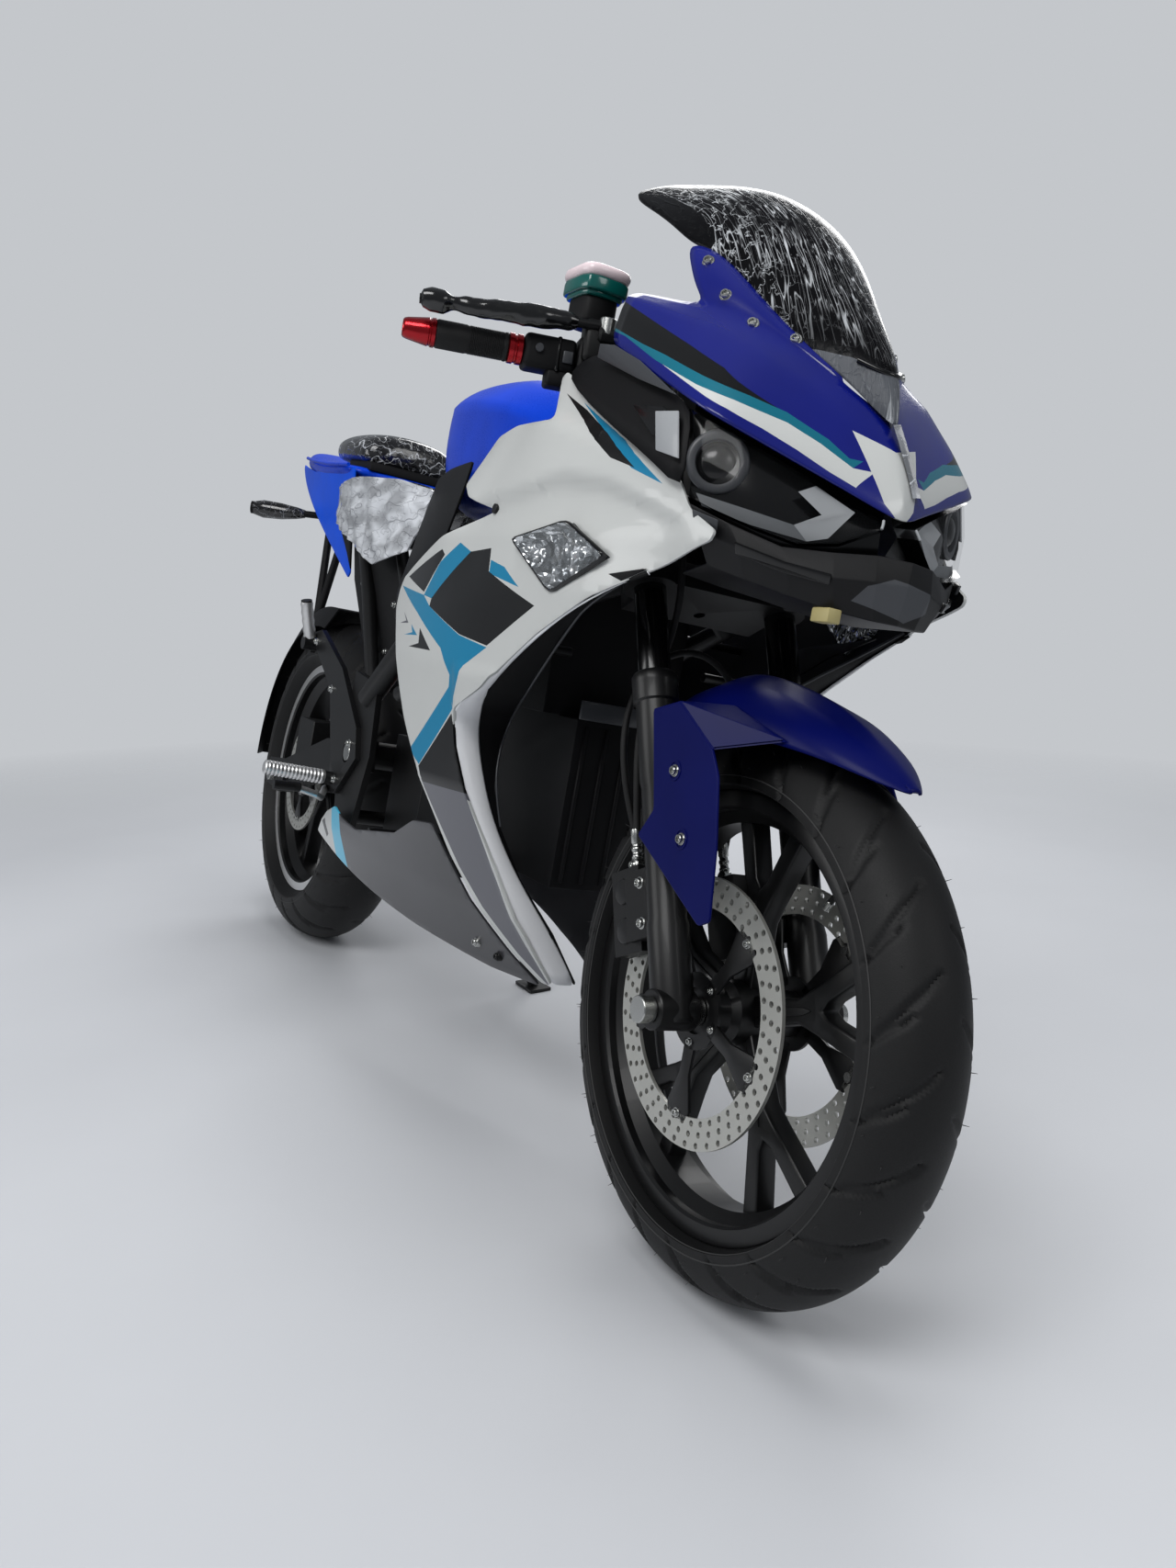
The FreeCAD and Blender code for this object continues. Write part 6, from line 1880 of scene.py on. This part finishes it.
def blown(bm: Shape, seam: Sequence[Pair], reach: float, shrink: float = 3.0,
          voxel: float = 5.0) -> Shape:
    """Blows a closed shape up as cloth, held along its seams and underneath.

    Args:
        bm: The shape, in upright millimetres.
        seam: The seam's distance from the middle, as (x, |y|) points.
        reach: The farthest that a point may move, in millimetres.
        shrink: How much smaller than the finished shape it starts.
        voxel: The mesh size in millimetres.

    Returns:
        The padded shape.
    """
    scene = bpy.context.scene
    bmesh.ops.scale(bm, vec=(MM, MM, MM), verts=bm.verts[:])
    shell = meshed("shell", bm)
    start = linked("shell", shell)
    smooth = start.modifiers.new("smooth", "SUBSURF")
    smooth.levels = smooth.render_levels = 2
    smaller = start.modifiers.new("smaller", "DISPLACE")
    smaller.strength, smaller.mid_level = -MM * shrink, 0.0
    even = start.modifiers.new("even", "REMESH")
    even.mode, even.voxel_size = "VOXEL", MM * voxel
    solved = start.evaluated_get(bpy.context.evaluated_depsgraph_get())
    mesh = bpy.data.meshes.new_from_object(solved)
    bpy.data.objects.remove(start)
    bpy.data.meshes.remove(shell)
    cushion = linked("cushion", mesh)
    held = cushion.vertex_groups.new(name="held")
    rest = [vert.co.copy() for vert in mesh.vertices]
    for vert in mesh.vertices:
        off = abs(abs(vert.co.y) * METRE - line_at(seam, vert.co.x * METRE) + shrink)
        if vert.normal.z < -0.35 or (off < 0.55 * voxel and vert.normal.z > 0.2):
            held.add([vert.index], 1.0, "REPLACE")
    cloth = cushion.modifiers.new("cloth", "CLOTH")
    cloth.settings.use_pressure = True
    cloth.settings.uniform_pressure_force = CLOTH_PRESSURE
    cloth.settings.vertex_group_mass = "held"
    cloth.settings.effector_weights.gravity = 0.0
    for frame_number in range(1, CLOTH_FRAMES + 1):
        scene.frame_set(frame_number)
    settled = cushion.evaluated_get(bpy.context.evaluated_depsgraph_get()).to_mesh()
    padded = bmesh.new()
    padded.from_mesh(settled)
    padded.verts.ensure_lookup_table()
    for vert, was in zip(padded.verts, rest):
        move = vert.co - was
        if move.length > MM * reach:
            vert.co = was + move.normalized() * (MM * reach)
    farthest = max((vert.co - was).length for vert, was in zip(padded.verts, rest))
    LOG.info("cloth: %d points, farthest %.1f mm", len(rest), METRE * farthest)
    scene.frame_set(1)
    bpy.data.objects.remove(cushion)
    bpy.data.meshes.remove(mesh)
    bmesh.ops.scale(padded, vec=(METRE, METRE, METRE), verts=padded.verts[:])
    bmesh.ops.recalc_face_normals(padded, faces=padded.faces[:])
    return padded


@dataclass
class TankAndTail:
    """Tank cover, knee covers, seats, tail cowl and its side covers."""

    def build(self) -> None:
        """Builds them all."""
        # The tank and the tail cowl wear the lighter copy of the blue paint: painted light.
        tank = Mould.of("tank", "blue_paint")
        tank.add(ringed_loft((
            (560, ((-50, 872), (-74, 886), (-84, 930), (-80, 985), (-62, 1008), (-34, 1020),
                   (0, 1024))),
            (585, ((-66, 850), (-96, 872), (-108, 930), (-104, 990), (-84, 1018), (-46, 1034),
                   (0, 1038))),
            (660, ((-90, 815), (-120, 850), (-124, 915), (-128, 986), (-98, 1018), (-52, 1036),
                   (0, 1041))),
            (760, ((-105, 795), (-134, 845), (-128, 915), (-139, 978), (-106, 1012), (-58, 1031),
                   (0, 1036))),
            (870, ((-112, 795), (-144, 850), (-138, 910), (-146, 958), (-112, 998), (-60, 1018),
                   (0, 1024))),
            (960, ((-108, 815), (-136, 855), (-134, 900), (-136, 938), (-104, 974), (-56, 992),
                   (0, 998))),
            (1005, ((-92, 852), (-116, 872), (-118, 900), (-114, 926), (-86, 952), (-44, 966),
                    (0, 970))))), TOP_LIT_BLUE)
        shoulder = {(585, 104, 990), (660, 128, 986), (760, 139, 978), (870, 146, 958),
                    (960, 136, 938)}
        creases = tank.bm.edges.layers.float.new("crease_edge")
        for edge in tank.bm.edges:
            if all((round(end.co.x), round(abs(end.co.y)), round(end.co.z)) in shoulder
                   for end in edge.verts):
                edge[creases] = 0.8
        tank.stand(smooth_levels=2)
        knee = Mould.of("knee_covers", "black_plastic")
        knee.add_both(lambda: skin_panel(
            corner_cut([(572, 885), (578, 800), (612, 700), (690, 652), (790, 672), (840, 790),
                        (885, 872), (700, 884)], 8),
            self.knee_y, 14.0), GRAIN_BLACK)
        knee.stand(wall=3.0, edge=0.8, sharp=50)
        # The side covers' film has its folds painted dark grey: painted shade in the folds.
        covers = Mould.of("seat_covers", "white_paint")
        covers.add_both(lambda: skin_panel(
            corner_cut([(72, 868), (150, 893), (300, 895), (470, 884), (572, 866), (576, 800),
                        (545, 764), (480, 752), (400, 742), (320, 768), (240, 792), (140, 812),
                        (95, 832)], 8),
            self.cover_y, 9.0), film_over("white_cover_in_film", linear(212, 215, 220), 0.14, 0.75,
                                        linear(104, 108, 114)))
        crumpled(covers.bm, 60.0, 5.0)
        crumpled(covers.bm, 24.0, 1.6)
        covers.stand(wall=3.0, edge=0.8, sharp=70, back=GRAIN_BLACK)
        tail = Mould.of("tail_cowl", "blue_paint")
        tail.add(ringed_loft((
            (178, ((-60, 902), (-96, 906), (-124, 922), (-125, 930), (-70, 932), (0, 932))),
            (120, ((-56, 900), (-92, 904), (-128, 924), (-124, 938), (-70, 940), (0, 940))),
            (20, ((-50, 900), (-82, 905), (-127, 928), (-116, 950), (-66, 950), (0, 950))),
            (-100, ((-42, 904), (-66, 908), (-120, 938), (-104, 966), (-60, 962), (0, 962))),
            (-200, ((-34, 926), (-52, 930), (-102, 954), (-92, 988), (-54, 992), (0, 994))),
            (-300, ((-26, 952), (-40, 954), (-80, 970), (-74, 1002), (-44, 1010), (0, 1012))),
            (-314, ((-20, 962), (-32, 964), (-66, 974), (-60, 994), (-36, 1000), (0, 1002))))),
                 TOP_LIT_BLUE)
        tail.stand(smooth_levels=2)
        # The tail flanks are painted a still lighter blue than the cowl: painted light. The part
        # under the line and below z 846 is painted ink.
        net = Finish("tail_flank_paint", linear(12, 88, 236), 0.34, 0.0, 0.0, mottle=0.4,
                     shine=0.1).net()
        x, _, z = net.axes(net.object_place())
        inner = net.above(x, z, [(-320, 1010), (-60, 905), (30, 872), (90, 830), (150, 770),
                                 (172, 742)])
        net.over(inner * (1.0 - (z > 846.0)), INK)
        flanks = Mould("tail_flanks", "chassis", "blue_paint")
        flanks.add_both(lambda: skin_panel(
            corner_cut([(-312, 974), (-120, 940), (50, 930), (172, 928), (172, 735), (160, 726),
                        (50, 782), (-120, 868), (-312, 966)], 3), self.flank_y, 14.0), net.material)
        flanks.stand(wall=3.0, edge=0.8, sharp=50, back=GRAIN_BLACK)
        crease = Mould("tail_creases", "chassis", "blue_paint")
        crease.add_both(lambda: tube([(-225, -97, 978), (-160, -107, 967), (-60, -118, 953),
                                      (60, -127, 938),
                                      (165, -126, 931)], 3.4), TOP_LIT_BLUE)
        crease.stand()
        self.seats()

    @staticmethod
    def flank_y(x: float, z: float) -> float:
        """The tail flank's outer face."""
        low = level_y((724, (-310, -70), (-80, -84), (172, -92)), x)
        high = level_y((980, (-310, -78), (-120, -110), (172, -122)), x)
        part = (z - 724) / 256
        return (1 - part) * low + part * high

    @staticmethod
    def knee_y(x: float, z: float) -> float:
        """The knee cover's outer face."""
        low = level_y((650, (560, -150), (680, -178), (800, -190)), x)
        high = level_y((880, (560, -100), (680, -130), (830, -165)), x)
        part = (z - 650) / 230
        return (1 - part) * low + part * high

    @staticmethod
    def cover_y(x: float, z: float) -> float:
        """The seat side cover's outer face, with a soft crease along it."""
        low = level_y((740, (150, -100), (300, -122), (480, -128)), x)
        high = level_y((905, (150, -132), (330, -148), (540, -112)), x)
        part = (z - 740) / 165
        return (1 - part) * low + part * high + 5.0 * ramp(part, 0.62, 0.7) - 5.0

    def seats(self) -> None:
        """Both seats: crowned foam in vinyl, seen through wrapping film."""
        vinyl = film_over("seat_vinyl_in_film", linear(24, 24, 27), 0.16, 0.85)
        rider = Mould.of("rider_seat", "seat_vinyl")
        rider.add(ringed_loft((
            (558, ((-52, 850), (-66, 858), (-74, 880), (-56, 892), (0, 896))),
            (500, ((-66, 828), (-84, 836), (-94, 862), (-66, 878), (0, 882))),
            (420, ((-84, 802), (-100, 814), (-108, 848), (-74, 866), (0, 870))),
            (320, ((-96, 822), (-112, 834), (-118, 862), (-80, 876), (0, 878))),
            (230, ((-98, 846), (-112, 856), (-118, 884), (-80, 898), (0, 900))),
            (184, ((-90, 862), (-104, 870), (-108, 915), (-76, 944), (0, 950))))), vinyl)
        rider.bm = blown(rider.bm, [(184, 76), (320, 80), (420, 74), (558, 56)], 26.0)
        rider_piece = rider.stand(smooth_levels=1 if rider.puffed() else 2)
        passenger = Mould.of("passenger_seat", "seat_vinyl")
        passenger.add(ringed_loft((
            (174, ((-80, 934), (-92, 946), (-96, 974), (-66, 998), (0, 1006))),
            (130, ((-84, 940), (-100, 952), (-104, 984), (-72, 1010), (0, 1018))),
            (50, ((-86, 948), (-102, 960), (-106, 992), (-72, 1018), (0, 1026))),
            (-30, ((-80, 956), (-94, 968), (-98, 1000), (-66, 1022), (0, 1030))),
            (-90, ((-70, 964), (-82, 974), (-86, 1000), (-58, 1018), (0, 1025))))), vinyl)
        passenger.bm = blown(passenger.bm, [(-90, 58), (-30, 66), (50, 72), (130, 72), (174, 66)],
                             22.0)
        passenger_piece = passenger.stand(smooth_levels=1 if passenger.puffed() else 2)
        base = Mould("passenger_seat_base", "chassis", "black_plastic")
        base.add(side_plate(((172, 929), (170, 946), (40, 958), (40, 941)), -86, 86, 2.0),
                 GRAIN_BLACK)
        base.stand()


# Running gear, stage and order of work


@dataclass
class Running:
    """Frame, drive, footrests and rear parts: the CAD forms with rounded edges and bolts."""

    plain: Tuple[Tuple[str, Finish, float], ...] = (
        ("main_frame", CAST_BLACK, 1.2), ("subframe", SATIN_BLACK, 0.8),
        ("swingarm", CAST_BLACK, 2.0), ("pivot_bolt", ZINC, 1.0), ("rear_axle", ZINC, 1.0),
        ("front_axle", ZINC, 1.0), ("motor", CAST_BLACK, 3.0), ("rear_sprocket", CHAIN_STEEL, 0.6),
        ("drive_chain", CHAIN_STEEL, 0.6), ("rear_caliper", CAST_BLACK, 2.0),
        ("fork_clamps", CAST_BLACK, 2.0), ("side_stand", SATIN_BLACK, 1.0),
        ("cover_pegs", GRAIN_BLACK, 0.6), ("fairing_stays", SATIN_BLACK, 0.6),
        ("cowl_bracket", SATIN_BLACK, 0.6), ("rear_mudguard", GRAIN_BLACK, 0.8),
        ("tail_lamp", RED_ANODISED, 1.0), ("instrument_panel", GLOSS_BLACK, 3.0),
    )

    def build(self) -> None:
        """Dresses every plain node, then those with extras."""
        for node, finish, edge in self.plain:
            dressed(node, finish, edge)
        self.hoses()
        self.battery()
        self.shock()
        self.calipers()
        self.infills()
        self.signals()
        for side in Side:
            self.footrest(side)

    @staticmethod
    def hoses() -> None:
        """The brake hoses with their crimped ends and banjo bolts."""
        extra = extras()
        for side, ahead in ((-73, -82), (-60, -98), (60, -98)):
            low, high = fork_place(167, side, ahead), fork_place(214, side, ahead)
            extra.add(turned([(0, 0), (0, 4.6), (10, 4.6), (11, 6.2), (14, 6.2), (15, 5.2),
                              (19, 5.2), (20, 6.2), (23, 6.2), (24, 5.2), (28, 5.2), (29, 6.2),
                              (44, 6.2), (46, 4.6), (46, 0)],
                             low, high - low, 24), ZINC)
            out = 1 if side > 0 else -1
            seat = fork_place(170, side, ahead)
            half = Vector((0, out * 6, 0))
            extra.add(rounded_rod(seat - half, seat + half, 8.0), ZINC)
            extra.add(bolt(seat + half, (0, out, 0), 4.6), ZINC)
        dressed("brake_hoses", SOFT_RUBBER, 0.0, extra)

    @staticmethod
    def infills() -> None:
        """The dark panels inside the subframe rails, below the seat covers, with their bolts."""
        panels = Mould("subframe_infills", "chassis", "black_plastic")
        outline = ((205, 722), (165, 800), (240, 806), (415, 780), (455, 728), (505, 600),
                   (440, 560), (330, 592))
        panels.add_both(lambda: side_plate(outline, -93, -90, 1.0), GRAIN_BLACK)
        for x, z in ((441, 681), (432, 600), (386, 600), (262, 716)):
            panels.add_both(lambda: bolt((x, -93, z), RIGHTWARD, 5.0), ZINC)
        panels.stand()

    @staticmethod
    def signals() -> None:
        """The rear turn signals on their stalks, their lamps still wrapped in film."""
        extra = extras()
        film = film_over("signal_in_film", linear(14, 14, 16), 0.16, 0.6)
        wrap = [(0, 0), (0, 8), (18, 12), (50, 17), (88, 18), (108, 13), (112, 0)]
        extra.add_both(lambda: crumpled(turned(wrap, (-206, -90, 859), (-0.47, -0.88, -0.05), 40),
                                        24, 2.2), film)
        dressed("rear_signals", GRAIN_BLACK, 1.2, extra)

    def battery(self) -> None:
        """The battery box with its ribs and band."""
        extra = extras()
        for index in range(5):
            y = -60 + index * 30
            extra.add(box((1111, y - 3, 352), (1114.5, y + 3, 552), 1.2), GRAIN_BLACK)
        extra.add(box((1111, -74, 560), (1115, 74, 584), 1.5), GRAPHITE)
        dressed("battery_box", GRAIN_BLACK, 5.0, extra)

    def shock(self) -> None:
        """The rear shock with its spring."""
        extra = extras()
        low, high = Vector((392, 0, 437)), Vector((598, 0, 606))
        way = (high - low).normalized()
        across = Vector((0, 1, 0))
        third = way.cross(across)
        turns, steps = 7, 12
        start, end = low + (high - low) * 0.24, low + (high - low) * 0.80
        points = []
        for index in range(turns * steps + 1):
            angle = math.tau * index / steps
            centre = start + (end - start) * (index / (turns * steps))
            points.append(centre + across * (math.cos(angle) * 31) + third * (math.sin(angle) * 31))
        extra.add(tube(points, 4.2), RED_ANODISED)
        dressed("rear_shock", SATIN_BLACK, 1.0, extra)

    def calipers(self) -> None:
        """The front calipers with their bolts and pistons."""
        extra = extras()
        for along in (96, 140):
            seat, piston = fork_place(along, -FORK_Y - 6, -40), fork_place(along, 4 - FORK_Y, -88)
            extra.add_both(lambda: bolt(seat, RIGHTWARD, 5.5), ZINC)
            extra.add_both(lambda: turned([(0, 0), (0, 15), (2.5, 14), (3.5, 11), (3.5, 0)], piston,
                                          RIGHTWARD, 32), SATIN_BLACK)
        dressed("front_calipers", CAST_BLACK, 3.0, extra)

    def footrest(self, side: Side) -> None:
        """A footrest hanger with knurled pegs and bolts."""
        extra = extras()
        keep = extra.on(side)
        profile: List[Pair] = [(0, 0), (0, 11.6)]
        for index in range(15):
            profile += [(3 + index * 6.5, 12.2), (6 + index * 6.5, 12.8), (8 + index * 6.5, 11.2)]
        profile += [(102, 12.4), (104, 9), (104, 0)]
        keep(turned(profile, (418.8, -160, 373), (0.02, -1, 0.05), 16), ALLOY)
        keep(turned([(0, 0), (0, 10.6), (4, 11.6), (8, 10.4), (16, 11.6), (24, 10.4), (32, 11.6),
                     (40, 10.4), (48, 11.6), (56, 10.4), (64, 11.4), (70, 9), (70, 0)],
                    (194, -155, 602), (0.2, -0.3, 0.93),
                    16), ALLOY)
        if side is Side.RIGHT:
            keep(tube([(404, -150, 352), (440, -166, 340), (500, -196, 352), (514, -236, 362)], 5.8,
                      False), ALLOY)
            keep(rounded_rod((513, -226, 362), (514, -250, 362), 8.0), SOFT_RUBBER)
        for x, z in ((480, 440), (430, 372), (340, 520), (210, 597)):
            keep(bolt((x, -145.3, z), RIGHTWARD, 6.0), ZINC)
        dressed("footrest_" + side.word, SATIN_BLACK, 1.4, extra)


@dataclass
class Studio:
    """Pale floor, soft light and the camera at the photo's place."""

    # metres from the rear axle, degrees, and the photo's own pixels
    offset: Point = (2.47194, -0.75327, 0.43600)
    yaw: float = 151.39464
    pitch: float = -9.96430
    focal_px: float = 1356.37
    frame_px: float = 1707.0
    sensor: float = 36.0

    def build(self) -> None:
        """Sets the stage."""
        self.camera()
        self.floor()
        self.lights()
        scene = bpy.context.scene
        scene.view_settings.view_transform = "Standard"

    def camera(self) -> None:
        """The camera, upright, at the photo's angle."""
        data = bpy.data.cameras.new("photo_camera")
        data.sensor_fit = "VERTICAL"
        data.sensor_height = self.sensor
        data.lens = self.focal_px / self.frame_px * self.sensor
        data.clip_end = 100.0
        camera = linked("photo_camera", data)
        camera.location = STANCE.axle + Vector(self.offset)
        yaw, pitch = math.radians(self.yaw), math.radians(self.pitch)
        look = Vector((math.cos(yaw) * math.cos(pitch), math.sin(yaw) * math.cos(pitch),
                       math.sin(pitch)))
        camera.rotation_euler = look.to_track_quat("-Z", "Y").to_euler()
        bpy.context.scene.camera = camera

    def floor(self) -> None:
        """A large pale floor."""
        bm = bmesh.new()
        bmesh.ops.create_grid(bm, x_segments=2, y_segments=2, size=30.0)
        mesh = meshed("floor", bm)
        net = Net("pale_floor")
        place = net.node("TexCoord").outputs["Object"]
        broad = net.noise(place, 0.8, 6.0)
        net.paint(net.mix(broad, linear(182, 184, 188), linear(202, 204, 208)))
        net.shader.inputs["Roughness"].default_value = 0.6
        x, y, _ = net.axes(place)
        far = net.math("SQRT", x * x + y * y)
        net.feed(net.shader.inputs["Alpha"], (1.0 - (far - 1.9) * 0.55).held())
        mesh.materials.append(net.material)
        floor = linked("floor", mesh)

    def lights(self) -> None:
        """A pale world and soft boxes."""
        world = bpy.data.worlds.new("studio")
        bpy.context.scene.world = world
        world.use_nodes = True
        tree = world.node_tree
        soft = tree.nodes["Background"]
        soft.inputs["Color"].default_value = linear(214, 220, 228)
        soft.inputs["Strength"].default_value = 0.29
        plain = tree.nodes.new("ShaderNodeBackground")
        plain.inputs["Color"].default_value = linear(196, 199, 203)
        chosen = tree.nodes.new("ShaderNodeMixShader")
        tree.links.new(tree.nodes.new("ShaderNodeLightPath").outputs["Is Camera Ray"],
                       chosen.inputs[0])
        tree.links.new(soft.outputs[0], chosen.inputs[1])
        tree.links.new(plain.outputs[0], chosen.inputs[2])
        tree.links.new(chosen.outputs[0], tree.nodes["World Output"].inputs["Surface"])
        # name, place, target, size in metres, power in watts
        boxes = (("key", (2.0, -2.4, 3.6), (0.2, 0.0, 0.6), 2.4, 92.0),
                 ("top", (0.1, 0.3, 3.9), (0.0, 0.0, 0.6), 2.6, 84.0),
                 ("side", (-0.9, -3.6, 1.9), (0.0, -0.1, 0.5), 2.0, 34.0),
                 ("front", (3.8, 1.4, 2.6), (0.6, 0.0, 0.6), 1.8, 24.0),
                 ("back", (-2.6, 2.6, 2.8), (0.0, 0.0, 0.7), 2.4, 58.0))
        for name, place, target, size, power in boxes:
            data = bpy.data.lights.new(name, "AREA")
            data.shape = "RECTANGLE"
            data.size = size
            data.size_y = size * 0.7
            data.energy = power
            lamp = linked(name, data)
            lamp.location = place
            look = Vector(target) - Vector(place)
            lamp.rotation_euler = look.to_track_quat("-Z", "Y").to_euler()
            lamp.visible_glossy = name != "top"


def main() -> None:
    """Builds the bike's looks piece by piece, and reports each."""
    logging.basicConfig(level=logging.INFO)
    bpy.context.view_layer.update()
    Studio().build()
    Wheel("front", (WHEELBASE, 0.0, FRONT_AXLE_Z), radius=293.0, half=55.0, flange=41.5, hub=34.0,
          hub_right=60.7, hub_left=60.7, bore=8.6).build()
    Wheel("rear", (0.0, 0.0, AXLE_HEIGHT), radius=323.0, half=74.0, flange=52.5, hub=40.0,
          hub_right=62.0, hub_left=81.0, bore=9.1, lip_finish=ALLOY).build()
    discs = Mould.of("front_discs", "disc_steel", "front_wheel")
    for side in Side:
        Disc((WHEELBASE, side.value * 62.7, FRONT_AXLE_Z), radius=140.0, hub=24.0,
             sign=side.value).fill(discs)
    discs.stand()
    rear_disc = Mould.of("rear_disc", "disc_steel", "rear_wheel")
    Disc((0.0, -64.0, AXLE_HEIGHT), radius=110.0, hub=26.0, sign=-1, columns=36,
         rows=2).fill(rear_disc)
    rear_disc.stand()
    fork = Fork()
    bars = Bars()
    for side in Side:
        fork.leg(side)
        bars.side(side)
    Fender().build()
    Nose().build()
    Fairings().build()
    TankAndTail().build()
    Running().build()


if __name__ == "__main__":
    main()
